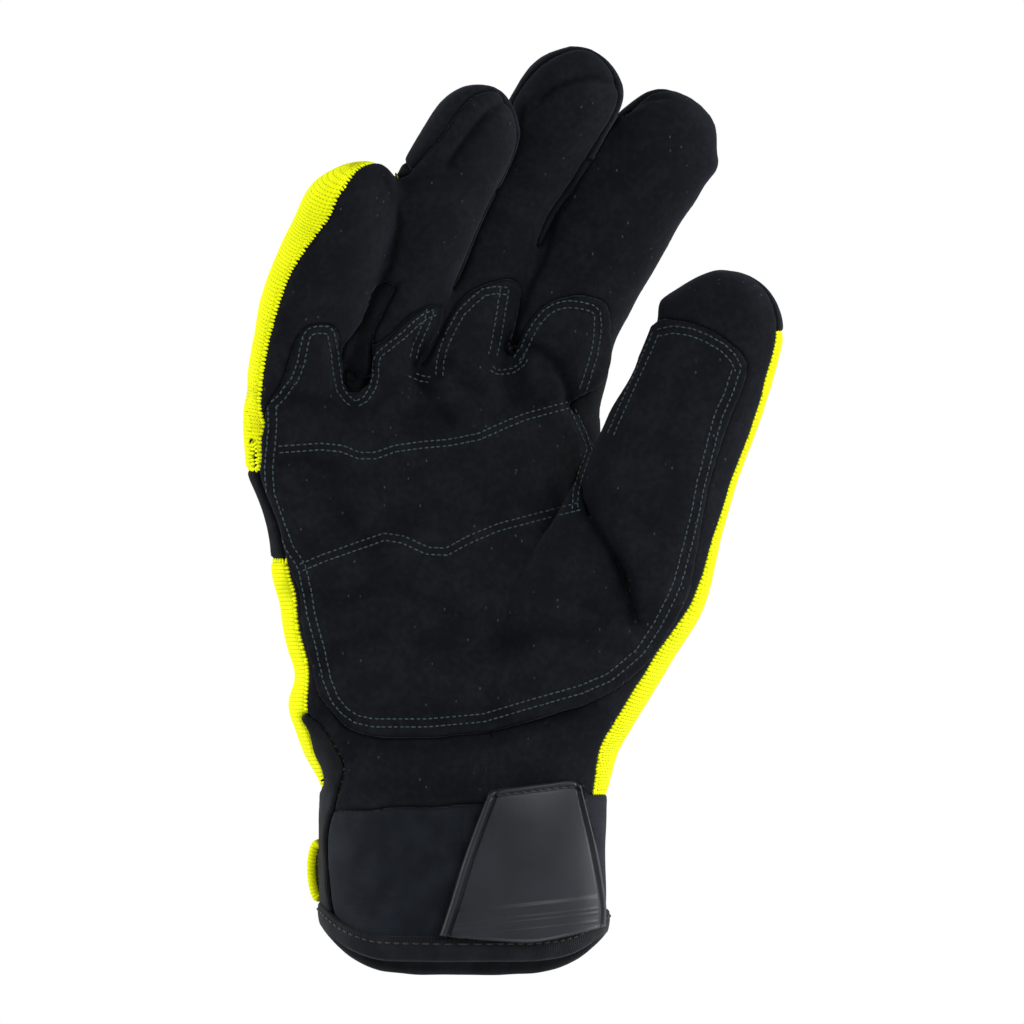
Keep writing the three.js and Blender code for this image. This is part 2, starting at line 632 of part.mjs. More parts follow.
const glove = new THREE.Group();
glove.add(meshFrom("palm_shell", palmShell(), suedeMaterial()));
glove.add(meshFrom("back_upper", backUpper(), knitMaterial()));
glove.add(meshFrom("knuckle_band", knuckleBand(), flexMaterial()));
glove.add(meshFrom("back_lower", backLower(), knitMaterial()));
for (const pair of PAIRS) glove.add(meshFrom(pair.name, fingerSide(pair), flexMaterial()));
for (const tip of TIPS) glove.add(meshFrom(tip.name, fingertip(tip), suedeMaterial()));
glove.add(meshFrom("palm_patch", patch(PALM_PATCH_OUTLINE, 0), suedeMaterial()));
glove.add(meshFrom("thumb_patch", patch(THUMB_PATCH_OUTLINE, -GAP), suedeMaterial()));
glove.add(meshFrom("wrist_cuff", wristCuff(), neopreneMaterial()));
glove.add(meshFrom("cuff_hem", cuffHem(), bindingMaterial()));
glove.add(meshFrom("slit_binding", slitBinding(), bindingMaterial()));
glove.add(meshFrom("wrist_badge", wristBadge(), rubberMaterial()));
glove.add(meshFrom("pull_tab", pullTab(), knitMaterial()));

export default glove;
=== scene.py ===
"""Right hand work glove, filled as if worn: yellow knit back, suede palm, neoprene cuff and rubber badge.

Every soft panel is cut from one skin that follows the hand, so its seams, folds and sewn rows run over it
as on cloth. Lengths in the tables are millimetres; every mesh is in metres.
"""

import logging
import math
import random
from dataclasses import dataclass, field
from enum import Enum
from typing import Callable, Iterable, NamedTuple, Sequence

import bmesh
import bpy
import numpy as np
from mathutils import Matrix, Vector, noise
from mathutils.bvhtree import BVHTree
from mathutils.kdtree import KDTree


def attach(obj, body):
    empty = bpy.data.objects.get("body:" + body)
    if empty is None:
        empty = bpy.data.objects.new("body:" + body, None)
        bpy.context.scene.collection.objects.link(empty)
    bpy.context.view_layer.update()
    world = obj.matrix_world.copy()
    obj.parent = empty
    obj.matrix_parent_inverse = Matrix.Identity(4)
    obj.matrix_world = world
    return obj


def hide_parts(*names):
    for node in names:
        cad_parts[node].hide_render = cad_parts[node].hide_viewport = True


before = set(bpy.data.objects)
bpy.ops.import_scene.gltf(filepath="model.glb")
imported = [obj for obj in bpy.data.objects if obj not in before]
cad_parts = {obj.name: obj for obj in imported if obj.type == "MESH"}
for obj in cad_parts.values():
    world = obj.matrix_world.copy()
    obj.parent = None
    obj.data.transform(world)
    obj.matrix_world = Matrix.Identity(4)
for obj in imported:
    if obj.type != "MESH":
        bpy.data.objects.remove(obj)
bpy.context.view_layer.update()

logging.basicConfig(level=logging.INFO, format="%(message)s")
LOG = logging.getLogger("glove")

MM = 0.001
VOXEL = 1.06  # mesh edge of the skin in millimetres; a finer one makes the palm too heavy to keep
SEED = 7


class BodyRow(NamedTuple):
    """A level section of the palm and wrist, in millimetres and degrees."""

    height: float
    left: float
    right: float
    front: float
    back: float
    shear: float
    seam_left: float
    seam_right: float


class LimbRow(NamedTuple):
    """A section square to a finger, in millimetres and degrees."""

    along: float
    half: float
    thick: float
    shear: float
    seam_left: float
    seam_right: float


BODY_ROWS = (
    BodyRow(-12, -36, 36, 24, 24, 0.00, 200, -25),
    BodyRow(7, -37, 37.6, 25, 25, 0.00, 200, -25),
    BodyRow(25, -37.8, 37.8, 25, 24, 0.00, 200, -25),
    BodyRow(40, -37.2, 38, 24, 22, 0.02, 200, -28),
    BodyRow(47, -36.5, 38.2, 22.5, 21, 0.05, 203, -30),
    BodyRow(54, -42, 38.6, 21, 20, 0.08, 206, -30),
    BodyRow(64, -45.6, 39, 20, 19, 0.10, 208, -25),
    BodyRow(75, -44.2, 40, 19.5, 18, 0.13, 206, -15),
    BodyRow(86, -47.5, 40, 19, 17, 0.16, 207, 0),
    BodyRow(98, -50.7, 40, 18, 16.5, 0.20, 207, 5),
    BodyRow(110, -50.6, 40, 17, 16, 0.24, 204, 5),
    BodyRow(121, -54, 39, 16, 15.5, 0.28, 201, 5),
    BodyRow(130, -57, 37, 15, 15, 0.31, 198, 5),
    BodyRow(141, -58, 36, 14, 14, 0.34, 197, 5),
    BodyRow(154, -57, 36, 12, 12, 0.36, 197, 5),
)
LITTLE_SPINE = (
    (-41, -9, 122), (-42.6, -12, 146), (-41.5, -16, 160), (-38.2, -22, 174),
    (-31.5, -30, 192), (-28.2, -36, 203), (-27, -39, 209),
)
LITTLE_ROWS = (
    LimbRow(0, 13, 11, 0.30, 215, -12),
    LimbRow(0.28, 14.2, 11.5, 0.32, 222, -12),
    LimbRow(0.45, 13.6, 11.2, 0.34, 226, -12),
    LimbRow(0.62, 13.8, 11, 0.36, 232, -12),
    LimbRow(0.75, 13.7, 10.7, 0.39, 240, 0),
    LimbRow(0.84, 13.2, 10.5, 0.42, 248, 45),
    LimbRow(0.92, 12.2, 10.2, 0.45, 256, 80),
    LimbRow(1, 11, 9.6, 0.45, 262, 80),
)
RING_SPINE = (
    (-21, -2, 120), (-19.5, -3, 148), (-16.5, -8, 170), (-10, -15, 188),
    (-3.6, -21, 204), (2.6, -25.5, 217), (7, -29.5, 226.5),
)
RING_ROWS = (
    LimbRow(0, 12, 11, 0.30, 192, -10),
    LimbRow(0.3, 12.2, 10.6, 0.30, 192, -10),
    LimbRow(0.5, 11.8, 10.3, 0.32, 194, -10),
    LimbRow(0.7, 12.6, 10.2, 0.34, 205, -10),
    LimbRow(0.82, 13.4, 10.4, 0.38, 228, -8),
    LimbRow(0.92, 12.6, 10.4, 0.4, 246, -4),
    LimbRow(1, 12, 10.4, 0.4, 250, 0),
)
MIDDLE_SPINE = (
    (0, 4, 120), (1.8, 4, 152), (5.2, 3.5, 178), (12, 1, 198),
    (19, -2, 210.5), (26, -6, 224), (31.5, -11, 237.5),
)
MIDDLE_ROWS = (
    LimbRow(0, 12, 11, 0.28, 192, -25),
    LimbRow(0.3, 12.2, 10.8, 0.28, 192, -25),
    LimbRow(0.5, 12, 10.4, 0.28, 192, -25),
    LimbRow(0.7, 12.6, 10.4, 0.28, 195, -25),
    LimbRow(0.82, 13.8, 10.6, 0.28, 200, -22),
    LimbRow(0.92, 14, 11, 0.26, 205, -15),
    LimbRow(1, 13.4, 11, 0.25, 210, -10),
)
INDEX_SPINE = (
    (18, 11, 120), (22.5, 10, 150), (25.6, 9.5, 165), (32.8, 9.5, 179),
    (43, 9.5, 198), (50.6, 9, 211), (56, 7.5, 228.6),
)
INDEX_ROWS = (
    LimbRow(0, 14, 11, 0.26, 192, 8),
    LimbRow(0.28, 14.2, 11, 0.26, 192, 8),
    LimbRow(0.4, 13.8, 10.8, 0.25, 192, 8),
    LimbRow(0.52, 14.6, 10.6, 0.22, 195, 8),
    LimbRow(0.72, 14.8, 10.6, 0.20, 198, 8),
    LimbRow(0.86, 14.8, 10.8, 0.18, 204, 8),
    LimbRow(1, 13.6, 10.6, 0.16, 215, 8),
)
THUMB_SPINE = (
    (17, -3, 42), (22, -5, 62), (33.5, -8, 85), (43.6, -11, 104),
    (52, -13, 124), (59.4, -13, 144), (65.9, -13, 160), (72.5, -14, 180.5),
)
THUMB_ROWS = (
    LimbRow(0, 20, 17, 0.10, 165, -30),
    LimbRow(0.13, 21.5, 18, 0.10, 165, -40),
    LimbRow(0.32, 22.8, 18.5, 0.08, 165, -38),
    LimbRow(0.46, 21.6, 18, 0.05, 165, -30),
    LimbRow(0.6, 19.2, 17, 0.0, 165, -24),
    LimbRow(0.74, 17.8, 16, -0.05, 165, -22),
    LimbRow(0.86, 16.6, 15, -0.08, 165, -24),
    LimbRow(1, 16, 14.2, -0.1, 170, -27),
)


class Swell(NamedTuple):
    """A place seen from the front where the cloth stands out or in, in millimetres."""

    x: float
    z: float
    reach: float
    across: float
    up: float


class Fold(NamedTuple):
    """A soft valley on the palm side, seen from the front; its depth also sets the shade painted along it.
    """

    from_x: float
    from_z: float
    to_x: float
    to_z: float
    width: float
    depth: float


FOLDS = (
    Fold(-54, 139.4, -14.4, 139.9, 3.6, 1.3),
    Fold(-14.4, 139.9, 31.5, 146, 4.0, 1.8),
    Fold(-43.2, 105.6, -14.4, 113.8, 3.6, 1.2),
    Fold(-14.4, 113.8, 29.7, 121.3, 3.6, 1.1),
    Fold(29.7, 125.4, 45, 92.4, 4.5, 2.3),
    Fold(-36, 63.5, 27, 62.7, 3.6, 1.8),
    Fold(-31.5, 158.4, -29.7, 145.2, 4.0, 2.7),
    Fold(-11.7, 160, -9.9, 145.2, 4.0, 2.7),
    Fold(11.7, 161.7, 14.4, 148.5, 4.0, 2.7),
)

SWELLS = (
    Swell(-44.4, 198, 16, 1.3, -0.5),
    Swell(-29.8, 209.9, 11, 0.2, -1.3),
    Swell(-11.9, 217.8, 9, 1.3, -0.5),
    Swell(1.8, 229.4, 7, 0, 0.9),
    Swell(9.8, 227.8, 6, 0.8, 0.8),
    Swell(15, 232.3, 6, 0.8, -0.2),
    Swell(29.6, 240, 9, 0.4, 0.9),
    Swell(36.2, 236.8, 8, 1, 0.8),
    Swell(41.2, 227.8, 7, 1.9, 0.3),
    Swell(66.3, 217.8, 9, 1.2, 0.3),
    Swell(67.1, 207.2, 4.5, 2.6, 0),
    Swell(62.6, 200.6, 5, 0.5, 0),
    Swell(37.8, 153.9, 9, 1, 0),
    Swell(46.7, 158.4, 10, 0.8, 0),
    Swell(58.6, 179, 8, 0.6, -1.6),
    Swell(52.5, 172.1, 3.5, -1.3, 0.3),
    Swell(78.4, 142.6, 14, 1.3, 0),
    Swell(84.2, 170.3, 7, -0.5, 0),
    Swell(63.1, 92.4, 11, 1.6, -0.4),
    Swell(41.4, 54.1, 7, -0.9, 0),
    Swell(-48.6, 93.7, 6, 1.2, 0),
    Swell(-45.1, 73.9, 5, 0.6, 0),
    Swell(-45.9, 66, 6, -1.1, 0),
    Swell(-39.9, 51.5, 7, -0.9, 0),
    Swell(-56.2, 126.7, 6, -0.7, 0),
)

PALM_PATCH_OUTLINE = (
    (-35.6, 65.7), (-38, 70), (-40.1, 77.9), (-42, 87.1), (-43.6, 96.4), (-44.6, 100.8), (-47.8, 106.1),
    (-50.2, 112.7), (-52.8, 120.6), (-53.3, 128.3), (-52.5, 138.6), (-51.7, 143.4), (-50.2, 146.3),
    (-48, 148.9), (-46.2, 152.9), (-44.9, 157.6), (-43.3, 162.4), (-42, 164.7), (-39.3, 165.8),
    (-34.8, 166.1), (-33, 165), (-31.7, 161.8), (-30.9, 158.1), (-30.1, 153.9), (-29.3, 150.2),
    (-27.7, 148.1), (-26.1, 148.4), (-24.8, 150.2), (-24, 153.9), (-24.3, 157.1), (-23.8, 160),
    (-21.1, 161.6), (-18, 164.2), (-15.3, 167.4), (-11.6, 170), (-7.4, 171.6), (-5.5, 171.1), (-5.3, 169),
    (-6.9, 164.5), (-8.4, 160.5), (-9.8, 157.1), (-10.8, 154.7), (-9.2, 154.4), (-7.9, 158.7),
    (-6.6, 162.4), (-4.8, 166.3), (-1.8, 171.1), (1.1, 174.2), (4.5, 176.6), (9.2, 177.9), (12.7, 178.5),
    (14.8, 177.4), (15.6, 175.6), (15, 172.1), (14.3, 168.7), (13.5, 164.5), (12.7, 160.5), (11.6, 157.6),
    (12.7, 157.6), (13.5, 160), (14.8, 162.4), (16.6, 165.8), (19.5, 169.8), (22.4, 172.1), (26.4, 173.7),
    (30.9, 174.2), (34.8, 173.7), (37.2, 172.7), (38.3, 170.3), (38.3, 166.3), (38, 162.4), (37.5, 158.1),
    (36.4, 153.6), (34.1, 149.2), (30.9, 146.5), (29.3, 145.5), (30.1, 143.4), (31.9, 139.9), (33.5, 136.5),
    (35.1, 133.1), (34.1, 131.2), (32.2, 128), (31.2, 124.9), (30.4, 120.6), (30.9, 117.5), (34.1, 113),
    (38.3, 106.7), (41.7, 100.6), (43.8, 94.2), (45.9, 88.2), (50.2, 80), (44.1, 73.7), (37.8, 69.4),
    (31.4, 66), (21.6, 63.1), (13.2, 61), (5.8, 59.1), (-9.2, 57.8), (-23.5, 58.3), (-29.6, 59.7),
    (-33, 62),
)
THUMB_PATCH_OUTLINE = (
    (35.1, 133.1), (36.2, 135.4), (39.1, 141.8), (42.5, 149.2), (45.7, 156), (48.3, 161.8), (50.2, 165.8),
    (52.8, 167.6), (58.6, 166.8), (64.4, 164.5), (69.4, 161.6), (72.3, 158.4), (74.2, 155.2), (73.4, 152.3),
    (71.3, 147.3), (68.9, 141.5), (66.3, 132.3), (64.2, 124.1), (62, 113.3), (60.2, 104.8), (57.8, 95.8),
    (54.9, 89.5), (50.2, 80), (45.9, 88.2), (43.8, 94.2), (41.7, 100.6), (38.3, 106.7), (34.1, 113),
    (30.9, 117.5), (30.4, 120.6), (31.2, 124.9), (32.2, 128), (34.1, 131.2),
)
CROTCH_OUTLINE = (
    (-21.1, 177.1), (-16.6, 176.6), (-20.1, 170.3), (-23.2, 164.5), (-24.3, 160.2), (-24.3, 153.9),
    (-25.6, 150.2), (-27.5, 148.9), (-29.3, 150.7), (-29.8, 155), (-29.3, 160.8), (-26.4, 165.5),
    (-23.2, 172.4),
)
SUEDE_BESIDE_SLIT = ((-40.4, 66), (-20, 66), (-20, 38), (-36.5, 38), (-36.2, 50), (-40.3, 60))
SLIT_OUTLINE = (
    (-42.8, 63.6), (-41.2, 64), (-39.1, 62.6), (-36.4, 59.9), (-33.8, 56.2), (-31.9, 52.5),
    (-30.9, 50.2), (-31.7, 47.8), (-33, 44.6), (-33.8, 42), (-34.6, 38.3), (-35.6, 34.1),
    (-36.2, 30.4), (-36.2, 25.1), (-35.6, 19.8), (-35.1, 14.5), (-34.6, 11.4), (-33.3, 9.2),
    (-30.6, 7.4), (-30.6, 2), (-50.4, 2), (-50.4, 43.5), (-36.7, 44.2), (-36.1, 47.3),
    (-36.6, 50.2), (-38, 52.3), (-38.9, 55), (-39.5, 57.6), (-40.3, 59.7), (-42, 61.8),
)

CUFF_SEAM = 40.5
CUFF_SEAM_SLOPE = 0.06
BAND_LOW = 104.0
BAND_HIGH = 128.0
HEM_HEIGHT = 6.5
RIM_SLOPE = 0.125
RIM_RISE_LEFT = 11.4
RIM_RISE_RIGHT = 9.1
RIM_HALF = 37.0
RIM_DROP = 3.6
WEB_TOP = 117.0


def rim_height(x: np.ndarray, y: np.ndarray) -> np.ndarray:
    """Height of the lower edge of the cuff.

    Args:
        x: Places across the wrist, in millimetres.
        y: Places from the palm side to the back, in millimetres.

    Returns:
        The height of the edge at those places, in millimetres.
    """
    rise = np.where(x < 0, RIM_RISE_LEFT, RIM_RISE_RIGHT) * np.minimum(1, np.abs(x / RIM_HALF) ** 5)
    return rise - RIM_DROP - RIM_SLOPE * y


def inside_outline(outline: Sequence[tuple[float, float]], x: np.ndarray, z: np.ndarray) -> np.ndarray:
    """Tells which points lie inside a closed outline seen from the front.

    Args:
        outline: Corners of the outline, in millimetres.
        x: Places across.
        z: Heights.

    Returns:
        A mask with one entry a point.
    """
    within = np.zeros(len(x), bool)
    for (x0, z0), (x1, z1) in zip(outline, outline[1:] + outline[:1]):
        crosses = (z0 > z) != (z1 > z)
        if z1 != z0:
            within ^= crosses & (x < (x1 - x0) * (z - z0) / (z1 - z0) + x0)
    return within


def line_distance(line: Sequence[tuple[float, float]], x: np.ndarray, z: np.ndarray) -> np.ndarray:
    """Distance of points from an open line seen from the front.

    Args:
        line: Points along the line, in millimetres.
        x: Places across.
        z: Heights.

    Returns:
        The distances in millimetres.
    """
    best = np.full(len(x), 1e9)
    for (x0, z0), (x1, z1) in zip(line, line[1:]):
        run_x, run_z = x1 - x0, z1 - z0
        share = ((x - x0) * run_x + (z - z0) * run_z) / max(run_x * run_x + run_z * run_z, 1e-9)
        share = np.clip(share, 0, 1)
        best = np.minimum(best, np.hypot(x - x0 - share * run_x, z - z0 - share * run_z))
    return best


def curve_points(points: Sequence[Sequence[float]], count: int) -> np.ndarray:
    """Points at even steps along a smooth curve through the given ones.

    Args:
        points: What the curve passes through.
        count: Number of points to return.

    Returns:
        An array with one row a point.
    """
    given = np.array(points, float)
    ends = np.vstack([2 * given[0] - given[1], given, 2 * given[-1] - given[-2]])
    dense = []
    for p0, p1, p2, p3 in zip(ends, ends[1:], ends[2:], ends[3:]):
        gaps = [max(np.linalg.norm(b - a) ** 0.5, 1e-6) for a, b in ((p0, p1), (p1, p2), (p2, p3))]
        leave = ((p1 - p0) / gaps[0] - (p2 - p0) / (gaps[0] + gaps[1]) + (p2 - p1) / gaps[1]) * gaps[1]
        reach = ((p2 - p1) / gaps[1] - (p3 - p1) / (gaps[1] + gaps[2]) + (p3 - p2) / gaps[2]) * gaps[1]
        t = np.linspace(0, 1, 40, endpoint=False)[:, None]
        cubic = 2 * p1 - 2 * p2 + leave + reach
        square = -3 * p1 + 3 * p2 - 2 * leave - reach
        dense.append(cubic * t**3 + square * t**2 + leave * t + p1)
    line = np.vstack([*dense, given[-1:]])
    run = np.concatenate([[0], np.cumsum(np.linalg.norm(np.diff(line, axis=0), axis=1))])
    steps = np.linspace(0, run[-1], count)
    return np.stack([np.interp(steps, run, column) for column in line.T], axis=1)


def unit(vectors: np.ndarray) -> np.ndarray:
    """Vectors at a length of one."""
    return vectors / np.maximum(np.linalg.norm(vectors, axis=-1, keepdims=True), 1e-12)


class Spot(NamedTuple):
    """Where points lie on a limb: share of its length, angle round it, and nearness to its surface."""

    share: np.ndarray
    angle: np.ndarray
    reach: np.ndarray
    off_palm: np.ndarray
    along: np.ndarray
    half: np.ndarray


@dataclass
class Limb:
    """The body of the hand, a finger or the thumb: sections along a middle line.

    Args:
        name: Plain name of the limb.
        centre: Points of the middle line.
        side: Directions across the palm.
        back: Directions towards the back of the hand.
        line: Directions along the limb.
        columns: Section sizes at the same points.
        dome: Share of the length that the round end takes.
        power: Squareness of the section.
        start: Height at which the run along the limb begins.
    """

    name: str
    centre: np.ndarray
    side: np.ndarray
    back: np.ndarray
    line: np.ndarray
    columns: dict[str, np.ndarray]
    dome: float
    power: float = 1.0
    start: float = 0.0
    shares: np.ndarray = field(init=False)
    length: float = field(init=False)

    def __post_init__(self) -> None:
        """Measures the middle line."""
        self.shares = np.linspace(0, 1, len(self.centre))
        self.length = float(np.linalg.norm(np.diff(self.centre, axis=0), axis=1).sum())

    def at(self, share: np.ndarray, values: np.ndarray) -> np.ndarray:
        """Blends a column or a row of points at shares of the length."""
        if values.ndim == 1:
            return np.interp(share, self.shares, values)
        return np.stack([np.interp(share, self.shares, column) for column in values.T], axis=-1)

    def surface(
        self, share: np.ndarray, angle: np.ndarray, size: np.ndarray, grow: float = 0.0
    ) -> np.ndarray:
        """Points of the outer face.

        Args:
            share: Shares of the length.
            angle: Angles round the limb in radians: 0 to the thumb side, a quarter turn to the back.
            size: Share of the section's size, below 1 on the round end.
            grow: Distance outwards from the face.

        Returns:
            One point a row, in millimetres.
        """
        get = {name: self.at(share, column) for name, column in self.columns.items()}
        cos, sin = np.cos(angle), np.sin(angle)
        wide = np.sign(cos) * np.abs(cos) ** self.power
        deep = np.sign(sin) * np.abs(sin) ** self.power
        across = (get["half"] + grow) * wide * size
        depth = (np.where(sin > 0, get["back"], get["front"]) + grow) * deep * size + get["shear"] * across
        point = self.at(share, self.centre)
        point = point + unit(self.at(share, self.side)) * (get["middle"] + across)[:, None]
        return point + unit(self.at(share, self.back)) * depth[:, None]

    def locate(self, points: np.ndarray) -> Spot:
        """Finds where points lie on the limb.

        Args:
            points: One point a row, in millimetres.

        Returns:
            Their place on the limb.
        """
        kept = self.shares <= 1 - self.dome + 1e-9
        line = self.centre[kept]
        apart = (points**2).sum(1)[:, None] - 2 * points @ line.T + (line**2).sum(1)[None, :]
        nearest = np.argmin(apart, axis=1)
        rise = ((points - line[nearest]) * self.line[kept][nearest]).sum(1)
        share = self.shares[kept][nearest] + rise / self.length
        held = np.clip(share, 0, 1 - self.dome)
        get = {name: self.at(held, column) for name, column in self.columns.items()}
        away = points - self.at(held, self.centre)
        across = (away * unit(self.at(held, self.side))).sum(1) - get["middle"]
        depth = (away * unit(self.at(held, self.back))).sum(1) - get["shear"] * across
        thick = np.where(depth > 0, get["back"], get["front"])
        cos = np.sign(across) * np.abs(across / get["half"]) ** (1 / self.power)
        sin = np.sign(depth) * np.abs(depth / thick) ** (1 / self.power)
        past = np.maximum(share - held, 0) / self.dome
        before = np.maximum(held - share, 0) * self.length / get["half"]
        reach = np.sqrt((cos**2 + sin**2) ** self.power + past**2 + before**2)
        angle = np.degrees(np.arctan2(sin, cos))
        angle = np.where(angle < -90, angle + 360, angle)
        off = np.minimum(angle - get["seam_right"], get["seam_left"] - angle)
        return Spot(
            share, angle, reach, np.radians(off) * get["half"], self.start + share * self.length, get["half"]
        )


SAMPLES = 160


def level_limb(rows: Sequence[BodyRow]) -> Limb:
    """The body of the hand, from level sections.

    Args:
        rows: Its sections from the wrist up.

    Returns:
        The limb.
    """
    heights = np.array([row.height for row in rows])
    levels = np.linspace(heights[0], heights[-1], SAMPLES)

    def column(get: Callable[[BodyRow], float]) -> np.ndarray:
        """One value of the rows at every level, with the kinks rounded."""
        values = np.interp(levels, heights, [get(row) for row in rows])
        padded = np.pad(values, 4, mode="edge")
        return np.convolve(padded, np.ones(9) / 9, mode="valid")

    flat = np.zeros(SAMPLES)
    ones = np.ones(SAMPLES)
    return Limb(
        name="body",
        centre=np.stack([flat, flat, levels], axis=1),
        side=np.stack([ones, flat, flat], axis=1),
        back=np.stack([flat, ones, flat], axis=1),
        line=np.stack([flat, flat, ones], axis=1),
        columns={
            "middle": column(lambda row: (row.left + row.right) / 2),
            "half": column(lambda row: (row.right - row.left) / 2),
            "front": column(lambda row: row.front),
            "back": column(lambda row: row.back),
            "shear": column(lambda row: row.shear),
            "seam_left": column(lambda row: row.seam_left),
            "seam_right": column(lambda row: row.seam_right),
        },
        dome=0.052,
        power=0.86,
        start=heights[0],
    )


def curved_limb(name: str, spine: Sequence[Sequence[float]], rows: Sequence[LimbRow], dome: float) -> Limb:
    """A finger or the thumb, from sections square to a curved middle line.

    Args:
        name: Plain name of the finger.
        spine: Points of its middle line.
        rows: Its sections from the root to the tip.
        dome: Share of the length that the round tip takes.

    Returns:
        The limb.
    """
    centre = curve_points(spine, SAMPLES)
    line = unit(np.gradient(centre, axis=0))
    side = unit(np.cross(np.array([0.0, 1.0, 0.0]), line))
    along = np.array([row.along for row in rows])
    shares = np.linspace(0, 1, SAMPLES)

    def column(get: Callable[[LimbRow], float]) -> np.ndarray:
        """One value of the rows all along the finger, with the kinks rounded."""
        values = np.interp(shares, along, [get(row) for row in rows])
        padded = np.pad(values, 6, mode="edge")
        return np.convolve(padded, np.ones(13) / 13, mode="valid")

    return Limb(
        name=name,
        centre=centre,
        side=side,
        back=np.cross(line, side),
        line=line,
        columns={
            "middle": np.zeros(SAMPLES),
            "half": column(lambda row: row.half),
            "front": column(lambda row: row.thick),
            "back": column(lambda row: row.thick),
            "shear": column(lambda row: row.shear),
            "seam_left": column(lambda row: row.seam_left),
            "seam_right": column(lambda row: row.seam_right),
        },
        dome=dome,
        start=float(centre[0][2]),
    )


BODY = level_limb(BODY_ROWS)
LITTLE = curved_limb("little", LITTLE_SPINE, LITTLE_ROWS, 0.13)
RING = curved_limb("ring", RING_SPINE, RING_ROWS, 0.12)
MIDDLE = curved_limb("middle", MIDDLE_SPINE, MIDDLE_ROWS, 0.115)
INDEX = curved_limb("index", INDEX_SPINE, INDEX_ROWS, 0.12)
THUMB = curved_limb("thumb", THUMB_SPINE, THUMB_ROWS, 0.095)
LIMBS = (BODY, LITTLE, RING, MIDDLE, INDEX, THUMB)


class Region(Enum):
    """The panels that the skin is cut into."""

    OUTSIDE = 0
    PALM = 1
    PALM_PATCH = 2
    THUMB_PATCH = 3
    BACK_UPPER = 4
    KNUCKLE = 5
    BACK_LOWER = 6
    LITTLE_RING = 7
    RING_MIDDLE = 8
    MIDDLE_INDEX = 9
    INDEX_TIP = 10
    MIDDLE_TIP = 11
    RING_TIP = 12
    THUMB_TIP = 13
    CUFF = 14
    SLIT = 15


PALM_SIDE = (Region.PALM, Region.PALM_PATCH, Region.THUMB_PATCH)
YELLOW_REGIONS = {Region.BACK_UPPER.value, Region.BACK_LOWER.value}
TIPS = (
    (Region.INDEX_TIP, 4, 0.8),
    (Region.MIDDLE_TIP, 3, 0.8),
    (Region.RING_TIP, 2, 0.78),
    (Region.THUMB_TIP, 5, 0.92),
)
SIDES = ((Region.LITTLE_RING, 1, 2), (Region.RING_MIDDLE, 2, 3), (Region.MIDDLE_INDEX, 3, 4))


def regions_of(points: np.ndarray) -> np.ndarray:
    """Names the panel that each point of the skin belongs to.

    Args:
        points: One point a row, in millimetres.

    Returns:
        The value of the region of each point.
    """
    x, y, z = points.T
    spots = [limb.locate(points) for limb in LIMBS]
    reach = np.stack([spot.reach for spot in spots])
    owner = np.argmin(reach, axis=0)
    near = np.minimum(1.06, reach.min(axis=0) + 0.05)
    off = np.max(np.where(reach <= near, np.stack([spot.off_palm for spot in spots]), -1e3), axis=0)
    away = off > 0
    names = np.full(len(points), Region.PALM.value)
    names[inside_outline(PALM_PATCH_OUTLINE, x, z)] = Region.PALM_PATCH.value
    names[inside_outline(THUMB_PATCH_OUTLINE, x, z)] = Region.THUMB_PATCH.value
    names[away] = Region.BACK_UPPER.value
    names[away & (z < BAND_HIGH)] = Region.KNUCKLE.value
    names[away & (z < BAND_LOW)] = Region.BACK_LOWER.value
    names[away & (spots[5].reach < 1.05)] = Region.BACK_LOWER.value
    for region, left, right in SIDES:
        for who, wall in ((left, spots[left].angle < 35), (right, spots[right].angle > 145)):
            share = spots[who].share
            names[away & (owner == who) & wall & (share > 0.12) & (share < 0.86)] = region.value
    names[inside_outline(CROTCH_OUTLINE, x, z) & ~away] = Region.LITTLE_RING.value
    for region, who, begin in TIPS:
        names[away & (owner == who) & (spots[who].share > begin)] = region.value
    names[inside_outline(SUEDE_BESIDE_SLIT, x, z) & away & (y < 0)] = Region.PALM.value
    names[z < CUFF_SEAM + CUFF_SEAM_SLOPE * x] = Region.CUFF.value
    names[inside_outline(SLIT_OUTLINE, x, z) & (y < 0)] = Region.SLIT.value
    names[z < rim_height(x, y) + 3] = Region.OUTSIDE.value
    return names


def cloth_run(points: np.ndarray) -> tuple[np.ndarray, np.ndarray]:
    """Distance round and along the hand, for the knit and the ribs.

    Args:
        points: One point a row, in millimetres.

    Returns:
        The run across and the run along, in millimetres, blended where fingers meet the hand.
    """
    spots = [limb.locate(points) for limb in LIMBS]
    reach = np.stack([spot.reach for spot in spots])
    weight = np.exp(-14 * (reach - reach.min(axis=0)))
    weight /= weight.sum(axis=0)
    across = np.stack([np.radians(spot.angle - 90) * spot.half for spot in spots])
    along = np.stack([spot.along for spot in spots])
    return (across * weight).sum(axis=0), (along * weight).sum(axis=0)


def from_pixels(points: Sequence[tuple[float, float]]) -> tuple[tuple[float, float], ...]:
    """Points measured on the front view, turned into millimetres across and up."""
    return tuple(((x - 463) * 0.264, (955 - y) * 0.264) for x, y in points)


class SewnRow(NamedTuple):
    """A row of stitches seen from the front, in millimetres."""

    line: tuple[tuple[float, float], ...]
    sink: float


class Crease(NamedTuple):
    """A thin fold of the cloth seen from the front, in millimetres, with the strength of the shade painted
    along it as its last field.
    """

    line: tuple[tuple[float, float], ...]
    width: float
    depth: float
    painted_shade: float


def beside(line: Sequence[tuple[float, float]], distance: float) -> tuple[tuple[float, float], ...]:
    """A line at a distance to the right of another, seen from the front.

    Args:
        line: Points of the first line.
        distance: How far the second lies from it; negative is to the left.

    Returns:
        The points of the second line.
    """
    points = np.array(line, float)
    run = unit(np.gradient(points, axis=0))
    return tuple(map(tuple, points + distance * np.stack([run[:, 1], -run[:, 0]], axis=1)))


